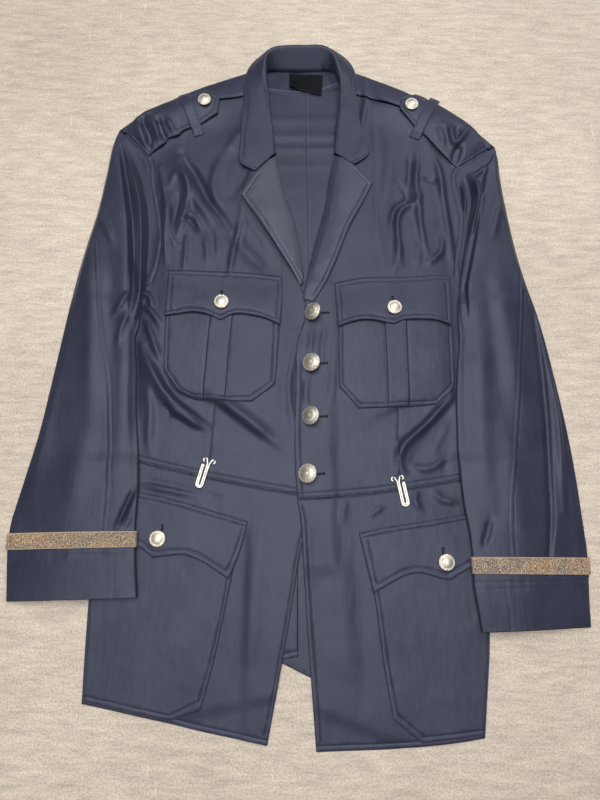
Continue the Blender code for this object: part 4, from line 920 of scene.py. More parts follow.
def rolled_profile(seam, centre, edge, radius):
    """Line from the seam round the roll to the edge, in (out, height)."""
    def tangent(point, sign):
        reach = math.hypot(point[0] - centre[0], point[1] - centre[1])
        toward = math.atan2(point[1] - centre[1], point[0] - centre[0])
        return toward + sign * math.acos(min(radius / reach, 1.0))

    start, end = tangent(seam, -1), tangent(edge, 1)
    while end > start:
        end -= 2 * math.pi
    roll = [(centre[0] + radius * math.cos(a), centre[1] + radius * math.sin(a))
            for a in np.linspace(start, end, 12)]
    line = [(lerp(seam[0], roll[0][0], t), lerp(seam[1], roll[0][1], t))
            for t in (0, 0.2, 0.4, 0.6, 0.8)]
    line += roll
    for t in (0.1, 0.2, 0.3, 0.4, 0.5, 0.6, 0.7, 0.78, 0.84, 0.88, 0.92, 0.96):
        bulge = 0.8 * math.sin(math.pi * t)
        line.append((lerp(roll[-1][0], edge[0], t), lerp(roll[-1][1], edge[1], t) + bulge))
    line.append(edge)
    return line


def make_collar():
    rings, wear = [], []
    each = 7
    rows = [CollarSection(*spline(COLLAR, step / each))
            for step in range((len(COLLAR) - 1) * each + 1)]
    ends = np.array([(row.roll_x + row.edge_out * math.cos(math.radians(row.bearing)),
                      row.roll_y + row.edge_out * math.sin(math.radians(row.bearing)))
                     for row in rows])
    under_edge = left_front_top(ends[:, 0], ends[:, 1])
    under_edge = np.convolve(np.pad(under_edge, 12, "edge"), np.ones(25) / 25, "valid")
    for row, under in zip(rows, under_edge):
        bearing = math.radians(row.bearing)
        out = np.array((math.cos(bearing), math.sin(bearing)))
        roll = np.array((row.roll_x, row.roll_y))
        behind = smooth((row.roll_z - 13) / 7)
        edge_z = lerp(under + LAYER + 0.3, 3.0, behind)
        profile = rolled_profile((row.seam_out, row.seam_z),
                                 (COLLAR_ROLL, row.roll_z - COLLAR_ROLL),
                                 (row.edge_out, edge_z), COLLAR_ROLL)
        ring = []
        for index, (o, z) in enumerate(profile):
            place = roll + out * o
            lift = 0.8 * unevenness(place[0], place[1] / 2.5, 11, 8) if index > 15 else 0.0
            groove = 0.7 * math.exp(-((row.edge_out - o - 5.5) / 0.8) ** 2) if index > 20 else 0
            ring.append((place[0], place[1], z + lift * (1 - behind) - groove))
        rings.append(ring)
        wear.append([0.5 * math.exp(-((row.edge_out - p[0]) / 1.2) ** 2) * (i > 18)
                     for i, p in enumerate(profile)])
    loft("collar", rings, navy_collar, False, thickness=1.2,
         wear=wear)


def make_lapels():
    for name, top, inward, outer, roll in (
            ("right", front_top, 1,
             [[(-28.5, 262), (-36, 254), (-53, 236)], [(-53, 236), (-73.5, 203.5)],
              [(-73.5, 203.5), (-50, 168), (-22, 122), (-2, 88), (3, 76)],
              [(3, 76), (7.5, 79)]],
             [(7.5, 79), (8.5, 90), (5, 124), (-3, 167), (-12, 198), (-19, 222),
              (-28.5, 262)]),
            ("left", left_front_top, -1,
             [[(48, 262), (60, 256), (73.5, 246)], [(73.5, 246), (98, 219)],
              [(98, 219), (84, 190), (66, 155), (50, 113), (34, 77), (20, 53)],
              [(20, 53), (7.5, 58)]],
             [(7.5, 58), (11, 88), (19, 125), (28, 160), (35, 190), (40, 225), (48, 262)])):
        line = curve(roll)

        def lying(x, y, top=top, line=line):
            gap = nearest(x, y, line)[0]
            swell = 3.4 * np.sin(np.pi * np.clip(gap / 62, 0, 1) ** 0.7) * smooth(gap / 9)
            swell *= smooth((y - 60) / 50)
            turn = np.clip(1 - gap / 2.8, 0, 1)
            drop = 2.8 * (1 - np.sqrt(np.clip(1 - turn ** 2, 0, 1)))
            return top(x, y) + LAYER + 0.4 + swell - drop * smooth((y - 60) / 30)

        edge, corner = curve(outer[2], 3), curve(outer[1], 3)
        # each lapel gets its paler cloth, a painted sheen
        panel("lapel_" + name, joined(*outer, roll), lying, lapel_navy_painted_sheen[name],
              seams=[offset_line(edge, 5.5 * inward)[2:-3],
                     offset_line(corner, 5.5 * inward)[2:-1],
                     offset_line(corner, -1.6 * inward)[1:-1]], sewn=slice(2),
              thickness=1.4, spacing=2.6, roll=1.3, rests_on=["front_upper_" + name])


def make_neck():
    facing = joined([(-48, 399), (5, 403), (58, 399)], [(58, 399), (61, 376)],
                    [(61, 376), (30, 365), (5, 362), (-20, 363), (-46, 367)],
                    [(-46, 367), (-48, 399)])
    panel("neck_facing", facing, lambda x, y: LAYER + 1.2 + 0.4 * unevenness(x, y, 16, 4), inside,
          slot="inner_cloth", spacing=3.5, rests_on=["back_upper_right"],
          seams=[[(-40, 370), (-18, 366.5), (5, 365.5), (30, 368.5), (56, 379)]])
    label = joined([(-11, 396), (35, 393)], [(35, 393), (34, 376), (32.5, 360)],
                   [(32.5, 360), (11, 365), (-11, 373)], [(-11, 373), (-11, 396)])

    def curled(x, y):
        return 2 * LAYER + 1.1 + 5.0 * smooth((6 - x) / 16) * smooth((384 - y) / 12)

    panel("neck_label", label, curled, label_black, slot="label_cloth", spacing=2.4,
          thickness=0.6, roll=0.2, rests_on=["neck_facing"], seams=[[(-8.5, 393), (32, 390.5)]])


# ---------------------------------------------------------------- pockets and flaps

Pocket = namedtuple("Pocket", "name outline pleat stitch")
Flap = namedtuple("Flap", "name upper right lower left stitch layers")

POCKETS = (
    Pocket("chest_pocket_right",
           [[(-161, 50), (-22, 44)], [(-22, 44), (-21.2, 21.8), (-23, -17), (-25.6, -50)],
            [(-25.6, -50), (-28, -54), (-49, -70), (-52.5, -73.2)],
            [(-52.5, -73.2), (-111, -71), (-122.3, -69), (-140.5, -61.1)],
            [(-140.5, -61.1), (-158.7, -34.8)], [(-158.7, -34.8), (-161, 50)]],
           (((-104, 46), (-106.4, 19), (-108.3, -17), (-110.7, -69)),
            ((-77.5, 46), (-78.2, 34.5), (-80.9, -9), (-84.1, -71))),
           [(-155.6, 36), (-154.3, -32.4), (-137.7, -57.5), (-122.5, -64.5), (-55.9, -67.4),
            (-29.6, -46.2), (-27.6, 32)]),
    Pocket("chest_pocket_left",
           [[(50, 40), (187, 44)], [(187, 44), (188.3, 18), (188.8, -32), (186, -57.4)],
            [(186, -57.4), (163.3, -76.2)], [(163.3, -76.2), (131.3, -79), (72.1, -81.3)],
            [(72.1, -81.3), (49.6, -55.1)], [(49.6, -55.1), (50, 40)]],
           (((105.5, 44), (105.8, 25), (106.7, -20), (106.1, -80)),
            ((133, 44), (132.7, 28), (132.4, -20), (131.8, -78))),
           [(54.8, 30), (53.5, -51.6), (74.5, -75.7), (104, -75.1), (162.5, -71.8), (182.5, -51.6),
            (184, 32)]),
    Pocket("hip_pocket_right",
           [[(-222, -222), (-67, -250)], [(-67, -250), (-76, -300), (-87, -356), (-98, -399)],
            [(-98, -399), (-102, -404), (-131, -413)], [(-131, -413), (-221, -394.5)],
            [(-221, -394.5), (-223, -300), (-222, -222)]], (),
           [(-73, -250), (-81, -305), (-92, -357), (-102, -394), (-131, -407.5), (-220.5, -389)]),
    Pocket("hip_pocket_left",
           [[(79, -262), (205, -245)], [(205, -245), (203, -340), (197, -392), (192.5, -426.5)],
            [(192.5, -426.5), (131, -433)], [(131, -433), (126, -432), (99, -411)],
            [(99, -411), (91, -357), (85, -300), (79, -262)]], (),
           [(86, -270), (90.5, -300), (97, -357), (105, -407), (131, -427.5), (192, -421)]))

FLAPS = (
    Flap("chest_flap_right",
         [(-161, 96), (-130, 95.9), (-95, 94.4), (-59, 92.6), (-18.3, 88)],
         [(-18.3, 88), (-18, 56), (-20.3, 21.7)],
         [(-20.3, 21.7), (-29, 26.1), (-41, 31), (-58, 34.7), (-72, 36.3), (-82, 33.8),
          (-92.1, 28), (-99, 31), (-108.4, 35.3), (-118, 37.4), (-129, 38.4), (-143, 36.3),
          (-161, 33.4)],
         [(-161, 33.4), (-160.7, 62), (-161, 96)],
         [(-155, 86), (-154.3, 40), (-135.4, 45.7), (-119, 44.6), (-108.7, 42), (-98.2, 37.4),
          (-92.2, 35.4), (-85.6, 39.2), (-75.4, 43), (-58, 41.6), (-43, 37.6), (-25, 30),
          (-23, 81)], 1.95),
    Flap("chest_flap_left",
         [(46, 80), (63.5, 82.6), (81, 86.2), (116, 86.9), (139, 87), (174, 89.8), (190, 89)],
         [(190, 89), (190, 52), (187, 21.5)],
         [(187, 21.5), (175.6, 25.7), (165.5, 28.2), (147, 29), (134, 28.2), (126.9, 27.2),
          (117.6, 22.9), (106.3, 24.9), (97.3, 26.9), (85, 28.4), (72.4, 27.2), (58.6, 22.7),
          (49, 19.4)],
         [(49, 19.4), (47.3, 52), (46, 80)],
         [(52.3, 72), (54.4, 27.8), (72.6, 34.2), (91, 35), (106.7, 31.6), (117.8, 29.6),
          (129, 34.4), (148, 35.4), (167, 35), (182.6, 28.6), (184, 80)], 1.95),
    Flap("hip_flap_right",
         [(-218, -171), (-175, -178.9), (-157, -181.9), (-130, -188.7), (-103, -196.4),
          (-80, -203.2), (-54.6, -210.7)],
         [(-54.6, -210.7), (-62.5, -243.8), (-73.8, -272.8)],
         [(-73.8, -272.8), (-87, -264.8), (-100.3, -256.5), (-113.6, -250.2), (-125, -247.2),
          (-140, -248.1), (-154.6, -249.9), (-158.5, -249.7), (-173.6, -238.7), (-190, -236),
          (-219, -230)],
         [(-219, -230), (-218.5, -200), (-218, -171)],
         [(-61.3, -219), (-69, -244), (-77, -263.5), (-91.7, -254.6), (-109.5, -244.4),
          (-122, -240.8), (-136, -241), (-153.3, -243), (-158.5, -242.1), (-171.5, -231.9),
          (-216, -224)], 1.1),
    Flap("hip_flap_left",
         [(68.5, -223.4), (85.4, -219.7), (107.7, -215.5), (130, -212.5), (156.7, -208.4),
          (185.5, -203.1), (201, -201)],
         [(201, -201), (201, -230), (201, -256)],
         [(201, -256), (188, -262), (174.4, -269), (165.4, -273.6), (148.4, -269.7),
          (140, -267.2), (131.3, -266.4), (118.2, -268.9), (105, -275.5), (93.5, -281.7),
          (82.6, -287.5)],
         [(82.6, -287.5), (75.5, -255), (68.5, -223.4)],
         [(78.3, -231), (87, -277.5), (101, -270.2), (116.8, -262.4), (132, -259.6),
          (144.6, -261), (153, -263.5), (165, -266.4), (188, -254), (200, -248)], 1.1))


def side_of(name):
    """What a pocket or flap lies on, and the side that it is on."""
    return (front_top, "right") if name.endswith("right") else (left_front_top, "left")


def straight_runs(points):
    """A stitched line with corners: resampled straight from point to point."""
    return np.concatenate([resample(points[i:i + 2], 1.6)[:-1]
                           for i in range(len(points) - 1)] + [np.array(points[-1:], float)])


def make_pockets():
    for pocket in POCKETS:
        top, side = side_of(pocket.name)
        guides = [curve(line, 3) for line in pocket.pleat]

        def lying(x, y, top=top, guides=guides):
            height = top(x, y) + LAYER
            if guides:
                first, second = (np.interp(y, guide[::-1, 1], guide[::-1, 0]) for guide in guides)
                band = smooth((x - first + 0.6) / 1.2) * smooth((second - x + 0.6) / 1.2)
                height = height + 0.8 * smooth((58 - y) / 40) * smooth((y + 76) / 30)
                height = height + 1.2 * band
            return height

        panel(pocket.name, joined(*pocket.outline), lying,
              seams=guides + [straight_runs(pocket.stitch)], sewn=slice(-1, None), spacing=2.8,
              thickness=0.9, raw=True,
              rests_on=["front_%s_%s" % ("upper" if guides else "skirt", side)])


def make_flaps():
    for flap in FLAPS:
        top, side = side_of(flap.name)
        line, top_line = curve(flap.lower, 3), curve(flap.upper, 3)

        def lying(x, y, top=top, line=line, top_line=top_line, layers=flap.layers):
            lift = smooth((nearest(x, y, top_line)[0] - 7) / 44)
            edge = nearest(x, y, line)[0]
            lip = 0.9 * np.exp(-((edge - 2.0) / 2.6) ** 2)
            drape = 0.5 * unevenness(x, y, 24, 12) * lift
            return top(x, y) + 0.3 + CLOTH * 1.3 + LAYER * layers * lift + lip + drape

        panel(flap.name, joined(flap.upper, flap.right, flap.lower, flap.left), lying,
              thickness=1.7, spacing=2.6, raw=True,
              seams=[straight_runs(flap.stitch), offset_line(top_line, -1.2)[1:-1],
                     offset_line(top_line, -6.2)[1:-1]],
              rests_on=["front_%s_%s" % ("upper" if "chest" in flap.name else "skirt", side)])


# ---------------------------------------------------------------- sleeves

def sleeve_under(arm, x, y, start=34, run=14, blend=10):
    """What a sleeve lies on: the floor, then the body, with the braid's band round it.

    It climbs over run from start inside the side seam, and over blend beside the braid.
    """
    inside_by = arm.toward * (x - across(arm.side, y))
    climb = smooth((inside_by + start) / run) * smooth((68 - y) / 22)
    pocket = 2 * LAYER * smooth((-130 - y) / 20)
    wrapped = smooth((24 + blend - np.abs(y - arm.braid_y)) / blend)
    return climb * (front_top(x, y) + 0.5 + pocket) + BRAID_STAND * wrapped


def pleat_height(arm, x, y):
    """The step and the slow fall behind it where a sleeve is folded at its head."""
    past = arm.toward * (across(arm.pleat, y) - x)
    edge = 6.4 * smooth((past + 1.2) / 3.2) - 1.6 * smooth(past / 30)
    return edge * smooth((y - 20) / 60)


# the stitched seams of each sleeve and cuff, by the way that the body lies from the arm
SLEEVE_SEAMS = {
    1: [(-252, 132), (-244, 80), (-238, 33), (-228, -15), (-220, -60), (-215, -105), (-212, -145),
        (-210, -185), (-210, -222)],
    -1: [(278, 100), (277, 82), (271, 28), (263, -24), (257, -71), (248, -128), (238, -183),
         (235, -215), (234, -248)]}
CUFF_SEAMS = {
    1: [[(-313, -248), (-269, -247), (-190, -246)],
        [(-313, -255), (-295, -251), (-268, -249.5), (-232, -248.5), (-200, -248)],
        [(-199, -240), (-197, -268), (-196, -296)]],
    -1: [[(184, -276), (228, -275), (271, -275), (316, -273)],
         [(184, -283), (228, -282), (271, -280), (316, -280)],
         [(224, -274), (225, -300), (226, -330)]]}


def make_tube(name, table, arm, material, rows_each, head, around,
              grooves=()):
    """A flat tube of cloth: a sleeve with its head, a cuff, or a band that stands off it."""
    columns = 84
    shares = 0.5 - 0.5 * np.cos(np.pi * np.linspace(0, 1, columns + 1))
    shares = 0.35 * shares + 0.65 * np.linspace(0, 1, columns + 1)
    lower = np.linspace(1, 0, 14)[1:-1]
    start, end = np.array(arm.armhole[0]), np.array(arm.armhole[-1])
    seam_lines = [curve(line, 5) for line in grooves]
    count = (len(table) - 1) * rows_each
    steps = np.arange(count + 1)
    fine = np.array([spline(table, step / rows_each) for step in steps])
    outer, inner, bowed, puff = fine[:, None, 0:2], fine[:, None, 2:4], fine[:, 4], fine[:, 5]
    width = np.hypot(*(inner - outer)[:, 0].T)[:, None]
    out = (inner - outer) / width[:, :, None]
    flow = smooth(steps / rows_each / 1.4)[:, None] if head else 1.0

    def plan(share):
        bend = np.array([armhole_point(arm.armhole, s) for s in share])
        bend -= start + (end - start) * share[:, None]
        points = outer + (inner - outer) * share[None, :, None]
        points = points + bend[None] * np.maximum(bowed, 0.0)[:, None, None]
        return points[:, :, 0], points[:, :, 1]

    x, y = plan(shares)
    low = sleeve_under(arm, x, y)
    rest = sleeve_under(arm, x, y, 108, 88, 50)
    stand = puff[:, None] * np.sin(np.pi * np.clip(shares, 1e-6, 1 - 1e-6)) ** 0.7
    stand = stand + crease_height(SLEEVE_CREASES, x, y) + pleat_height(arm, x, y)
    stand += 0.35 * unevenness(x, y, 30, 6) + 0.15 * unevenness(x, y, 12, 7)
    edge = np.minimum(shares, 1 - shares) * width
    high = rest + LAYER + np.maximum(stand, -0.6) * smooth((edge + 1.5) / 12)
    high = lerp(front_top(x, y) - CLOTH, high, flow) + CLOTH + around
    for line in seam_lines:
        gap, side, walked, _ = nearest(x, y, line, 14)
        for shift in ((-2.6, 2.6) if head else (0.0,)):
            high = high - 0.5 * np.exp(-((gap * side - shift) / 0.9) ** 2)
        high = high + (0.35 if head else 0.0) * np.exp(-(gap / 2.0) ** 2)
        high += 0.25 * unevenness(walked, 0 * walked, 6, 9) * np.exp(-(gap / 5) ** 2)
    base = low - around
    turn = np.sqrt(np.clip(1 - (1 - np.clip(edge / 2.6, 0, 1)) ** 2, 0, 1))
    z = 0.5 * (high + base) + 0.5 * (high - base) * turn
    push = np.where(shares < 0.5, -1, 1) * around * (1 - np.clip(edge / 3, 0, 1))
    top_rows = np.dstack((x + out[:, :, 0] * push, y + out[:, :, 1] * push, z))
    xb, yb = plan(lower)
    under_rows = np.dstack((xb, yb, sleeve_under(arm, xb, yb) - around))
    rings = np.concatenate((top_rows, under_rows), axis=1)
    wear = 0.10 * np.exp(-(edge / 2) ** 2)
    if around:
        wear = wear + 0.7 * ((steps < 1) | (steps > count - 1))[:, None]
    wear = np.concatenate((wear, np.zeros(xb.shape)), axis=1)
    loft(name, rings, material, True, wear=wear,
         flip=arm.toward > 0)


def make_sleeves():
    for name, arm, sleeve, cuff, band in (
            ("right", RIGHT_ARM, RIGHT_SLEEVE, RIGHT_CUFF, RIGHT_BRAID),
            ("left", LEFT_ARM, LEFT_SLEEVE, LEFT_CUFF, LEFT_BRAID)):
        seam = SLEEVE_SEAMS[arm.toward]
        make_tube("sleeve_" + name, sleeve, arm, navy_sleeves[name], 19, True, 0.0,
                  [seam])
        stitch_lines.extend(("sleeve_%s_cloth" % name, offset_line(curve(seam, 5), off))
                            for off in (-2.6, 2.6))
        make_tube("cuff_" + name, cuff, arm, navy_sleeves[name], 22, False, 0.0,
                  CUFF_SEAMS[arm.toward])
        make_tube("braid_" + name, band, arm, braid, 8, False, BRAID_STAND)


# ---------------------------------------------------------------- straps

def make_straps():
    for name, arm, outline, puckers, carrier, stitch in (
            ("right", RIGHT_ARM,
             joined([(-229, 299), (-197, 263)],
                    [(-197, 263), (-186, 272), (-176, 279), (-170, 287), (-158, 290), (-149, 299),
                     (-127, 310)],
                    [(-127, 310), (-106, 325)], [(-106, 325), (-104, 348)],
                    [(-104, 348), (-122, 358.5)], [(-122, 358.5), (-136, 356)],
                    [(-136, 356), (-150, 351), (-180, 338), (-211, 319), (-229, 299)]),
             (Crease(2.6, 5, 5, ((-211, 310), (-207, 290), (-199, 275))),
              Crease(-3.4, 3.5, 3.5, ((-203, 316), (-203, 305), (-196, 290), (-194, 272))),
              Crease(3.4, 4, 5, ((-193, 310), (-185, 294), (-181, 279))),
              Crease(-3.6, 3, 3, ((-184, 312), (-180, 297), (-172, 283))),
              Crease(2.2, 4, 5, ((-172, 312), (-166, 300), (-161, 292))),
              Crease(1.2, 5, 5, ((-220, 305), (-206, 318), (-190, 326)))),
             ((-155, 357), (-130, 293)),
             [(-160, 297), (-150, 304), (-129, 315.5), (-111, 328), (-109, 345), (-122.5, 352.5),
              (-136, 350), (-150, 345), (-166, 338)]),
            ("left", LEFT_ARM,
             joined([(209, 245), (251, 272)],
                    [(251, 272), (235, 299), (203, 329), (179, 348), (160, 357)],
                    [(160, 357), (139, 347)], [(139, 347), (136, 328)], [(136, 328), (154, 304)],
                    [(154, 304), (168, 289), (182, 273), (193, 261), (209, 245)]),
             (Crease(2.8, 4, 4, ((192, 304), (200, 297), (202, 284), (207, 274), (215, 283),
                                 (224, 296))),
              Crease(-3.4, 6, 6, ((213, 276), (209, 262), (205, 250))),
              Crease(-2.0, 5, 5, ((208, 302), (211, 292), (210, 282))),
              Crease(1.4, 6, 6, ((184, 300), (190, 286), (192, 272)))),
             ((187, 352), (155, 287)),
             [(182, 340), (160, 351.5), (143, 344), (140.5, 330), (157, 308.5)])):
        hole = armhole_line(arm, 0.0, 0.35)
        start, end = np.array(carrier[0]), np.array(carrier[1])

        def lying(x, y, hole=hole, puckers=puckers, start=start, end=end):
            away = nearest(x, y, hole)[0]
            press = 1 - 0.8 * np.exp(-(nearest(x, y, np.array((start, end)))[0] / 10) ** 2)
            lift = (2.2 * smooth(away / 16) + 0.3) * press
            return front_top(x, y) + LAYER + lift + crease_height(puckers, x, y) * smooth(away / 8)

        crosswise = hole[2::3] + (5.0 * arm.toward, 3.0)
        panel("shoulder_strap_" + name, outline, lying, seams=[straight_runs(stitch), crosswise],
              sewn=slice(1), thickness=1.6, spacing=2.2, roll=1.2, raw=True,
              rests_on=["front_upper_" + name])
        run = (end - start) / math.hypot(*(end - start))
        side = np.array((-run[1], run[0])) * 7.0
        band = joined([start - side, start + side], [start + side, end + side],
                      [end + side, end - side], [end - side, start - side])

        def across_strap(x, y, start=start, run=run, length=math.hypot(*(end - start))):
            t = ((x - start[0]) * run[0] + (y - start[1]) * run[1]) / length
            return front_top(x, y) + CLOTH + 0.4 + 2.9 * smooth(t / 0.14) * smooth((1 - t) / 0.13)

        panel("strap_carrier_" + name, band, across_strap, thickness=1.5, spacing=2.2, roll=0.9,
              seams=[[start + run * 3.0 - side * 0.85, start + run * 3.0 + side * 0.85]],
              sewn=slice(0), rests_on=["shoulder_strap_" + name])


# ---------------------------------------------------------------- sewing

def surface(name, x, y):
    """Height of a made piece at one place, or None beside it."""
    hit = pieces[name].ray_cast(Vector((x, y, SEE_FROM)), Vector((0, 0, -1)))[0]
    return None if hit is None else hit.z


def add_stitch(points, faces, spots, side, lift, sink, narrow=1.0):
    """A thread over three places: high along its middle, its two sides in the cloth."""
    base = len(points)
    for index, (x, y, z) in enumerate(spots):
        spread = 1.0 if index == 1 else narrow
        points += [(x - side[0] * spread, y - side[1] * spread, z - sink),
                   (x, y, z + lift[index]),
                   (x + side[0] * spread, y + side[1] * spread, z - sink)]
    for k in (base, base + 3):
        faces += [(k, k + 3, k + 4, k + 1), (k + 1, k + 4, k + 5, k + 2)]


def make_sewing():
    """Every topstitch on its line, as a small arch of thread."""
    pitch, width = 2.9, 0.95
    points, faces = [], []
    for piece, line in stitch_lines:
        line = resample(line, pitch)
        for (x0, y0), (x1, y1) in zip(line, line[1:]):
            run = np.array((x1 - x0, y1 - y0))
            side = np.array((-run[1], run[0])) / max(math.hypot(*run), 1e-6) * width / 2
            places = [(x0 + run[0] * t, y0 + run[1] * t) for t in (0.14, 0.5, 0.86)]
            spots = [(x, y, surface(piece, x, y)) for x, y in places]
            if all(spot[2] is not None for spot in spots):
                add_stitch(points, faces, spots, side, (0.02, 0.30, 0.02), 0.1, 0.7)
    add_piece("topstitching", points, faces, thread, [])


# ---------------------------------------------------------------- metal

def seat_height(name, x, y, radius):
    """Highest point of a piece under a round foot."""
    heights = [surface(name, x + radius * part * math.cos(angle),
                       y + radius * part * math.sin(angle))
               for angle in np.linspace(0, 2 * math.pi, 12, endpoint=False)
               for part in (0.0, 0.55, 1.0)]
    return max([z for z in heights if z is not None] + [0.0])


# the outline of a button from its middle outwards, then under its rim: share of the radius
# and of the height
DOME = ((0.0, 0.90), (0.30, 0.88), (0.52, 0.80), (0.66, 0.70), (0.76, 0.60), (0.80, 0.62),
        (0.835, 0.60), (0.86, 0.52), (0.89, 0.50), (0.93, 0.54), (0.97, 0.50), (1.0, 0.38),
        (1.0, 0.26), (0.95, 0.12), (0.80, 0.0), (0.0, 0.0))
DOME_STEPS = 56
LEAVES = 22
LEAF = ((-0.085, 0), (0, 0.042), (0.10, 0), (0, -0.042))
RELIEF = 0.075


def button(name, x, y, z, diameter, height, tilt, lean=0.0):
    """A domed cast button: rope rim, ring, wreath of leaves and a star."""
    radius = diameter / 2
    shape = bmesh.new()

    def polar(r, angle, h):
        return shape.verts.new((r * radius * math.cos(angle), r * radius * math.sin(angle), h))

    def dome(r):
        return np.interp(r, [p[0] for p in DOME[:12]], [p[1] for p in DOME[:12]]) * height

    rows = []
    for r, h in DOME:
        rope = 0.072 * height if 0.9 < r < 0.99 else 0.0
        angles = [2 * math.pi * k / DOME_STEPS for k in range(DOME_STEPS if r else 1)]
        rows.append([polar(r, a, h * height + rope * math.sin(a * 14 + r * 60)) for a in angles])
    field = len(shape.verts)
    for upper, lower in zip(rows, rows[1:]):
        for k in range(DOME_STEPS):
            j = (k + 1) % DOME_STEPS
            if len(upper) == 1:
                shape.faces.new((upper[0], lower[k], lower[j]))
            elif len(lower) == 1:
                shape.faces.new((upper[k], lower[0], upper[j]))
            else:
                shape.faces.new((upper[k], lower[k], lower[j], upper[j]))
    star = [polar(r, math.pi / 2 + math.pi * k / 5, dome(r) - 0.05)
            for k, r in enumerate((0.34, 0.145) * 5)]
    reliefs = [(star, polar(0, 0, dome(0) + RELIEF * height))]
    for k in range(LEAVES):
        angle = 2 * math.pi * (k + 0.5) / LEAVES
        skew = 0.55 if k % 2 else -0.55
        a = angle + skew * 0.18
        leaf = []
        for along, wide in LEAF:
            px = (0.57 * math.cos(angle) + (math.cos(a) * along - math.sin(a) * wide) * 1.1
                  - math.sin(angle) * skew * along)
            py = (0.57 * math.sin(angle) + (math.sin(a) * along + math.cos(a) * wide) * 1.1
                  + math.cos(angle) * skew * along)
            reach = math.hypot(px, py)
            leaf.append(polar(reach, math.atan2(py, px), dome(reach) - 0.04))
        reliefs.append((leaf, polar(0.57, angle, dome(0.57) + RELIEF * height)))
    for rim, crest in reliefs:
        for i, corner in enumerate(rim):
            shape.faces.new((corner, rim[(i + 1) % len(rim)], crest))
    bmesh.ops.recalc_face_normals(shape, faces=shape.faces)
    turn = Matrix.Rotation(tilt, 4, "Z")
    points = [turn @ v.co for v in shape.verts]
    shape.verts.index_update()
    faces = [tuple(v.index for v in f.verts) for f in shape.faces]
    shape.free()
    reach = np.array([math.hypot(p.x, p.y) / radius for p in points])
    low = np.array([p.z for p in points]) < 0.2 * height
    groove = np.maximum(0.85 * np.exp(-((reach - 0.875) / 0.03) ** 2), 0.5 * low)
    groove = np.maximum(groove, 0.35 * np.exp(-((reach - 0.72) / 0.05) ** 2))
    groove[:field] = np.maximum(groove[:field], 0.42 * (reach[:field] < 0.79))
    leaning = Matrix.Rotation(-lean, 4, "Y")
    placed = [tuple(leaning @ p + Vector((x, y, z))) for p in points]
    add_piece(name + "_metal", placed, faces, silver, [name], groove)


FRONT_BUTTONS = ((20, 39, 36), (18, -26, 26), (17, -91, 32), (13, -158, 24))


def make_buttons():
    for number, (x, y, lean) in enumerate(FRONT_BUTTONS, 1):
        lean = math.radians(lean)
        seat = seat_height("front_upper_left_cloth", x, y, 8) + 0.2 + 11 * math.sin(lean) * 0.7
        button("front_button_%d" % number, x, y, seat, 22, 6.5, 0.3 * number, lean)
    for prefix, spots, under in (
            ("chest_button_", ((-92, 51), (118, 43.5)), "chest_flap_%s_cloth"),
            ("hip_button_", ((-153, -230), (163, -255)), "hip_flap_%s_cloth"),
            ("strap_button_", ((-123.5, 339), (151.5, 332)), "shoulder_strap_%s_cloth")):
        for number, (x, y) in enumerate(spots, 1):
            seat = seat_height(under % ("right" if x < 0 else "left"), x, y, 6.5)
            button(prefix + str(number), x, y, seat + 0.2, 17.5, 5.5, 0.4 * number)


def buttonhole(name, piece, x, y, angle, length):
    """A worked buttonhole: close stitches along its slit and round its end."""
    points, faces = [], []
    start = np.array((x, y))
    along = np.array((math.cos(angle), math.sin(angle)))
    side = np.array((-along[1], along[0]))

    def bar(a, b, width, lift):
        run = (b - a) / max(math.hypot(*(b - a)), 1e-6)
        spots = []
        for spot in (a, 0.5 * (a + b), b):
            z = surface(piece, *spot)
            spots.append((spot[0], spot[1], 5.0 if z is None else z))
        add_stitch(points, faces, spots, np.array((-run[1], run[0])) * width / 2,
                   (lift - 0.05,) * 3, 0.05)

    pitch = 0.55
    for k in range(int(length / pitch)):
        for way in (-1, 1):
            root = start + along * k * pitch
            bar(root + side * way * 0.1, root + side * way * 1.2, 0.6, 0.35)
    tip = start + along * length
    for k in range(7):
        a = angle - math.pi / 2 + math.pi * k / 6
        out = np.array((math.cos(a), math.sin(a)))
        bar(tip + out * 0.2, tip + out * 2.0, 0.7, 0.45)
    add_piece(name, points, faces, hole_thread, [])


def make_buttonholes():
    for number, (x, y, lean) in enumerate(FRONT_BUTTONS, 1):
        buttonhole("buttonhole_front_%d" % number, "front_upper_left_cloth", x + 9.5, y,
                   math.radians(4), 8.0)
    for name, piece, x, y in (("chest_right", "chest_flap_right_cloth", -92, 58.5),
                              ("chest_left", "chest_flap_left_cloth", 116.5, 51),
                              ("hip_right", "hip_flap_right_cloth", -149, -223),
                              ("hip_left", "hip_flap_left_cloth", 160.5, -248)):
        buttonhole("buttonhole_" + name, piece, x, y, math.pi / 2, 7.0)


def arc(centre_x, centre_y, radius, start, end, steps):
    return [(centre_x + radius * math.cos(math.radians(a)),
             centre_y + radius * math.sin(math.radians(a)))
            for a in np.linspace(start, end, steps + 1)[1:]]


def hook_path():
    eye, ring, pitch, bend, drop, tip_y = 4.65, 2.1, 2.15, 1.8, 30.0, 9.0
    near = pitch / 2
    turn = near + bend
    path = [(-eye - 0.4, -2 * ring)]
    path += arc(-eye, -ring, ring, -100, -360, 22)
    path += [(-near - 0.3, -ring - 2.6), (-near, -ring - 5.2)]
    path += [(-near, -ring - 5.2 - 2.2 * k) for k in range(1, 10)] + [(-near, -drop)]
    path += arc(turn, -drop, bend + pitch, 180, 360, 18)
    tip = turn + bend + near
    path += [(tip + near, -tip_y)]
    path += arc(tip, -tip_y, near, 0, 180, 9)
    path += [(turn + bend, -drop)]
    path += arc(turn, -drop, bend, 360, 180, 14)
    path += [(near, -ring - 5.2), (near + 0.3, -ring - 2.6), (eye - ring, -ring)]
    path += arc(eye, -ring, ring, 180, -80, 22)
    return path


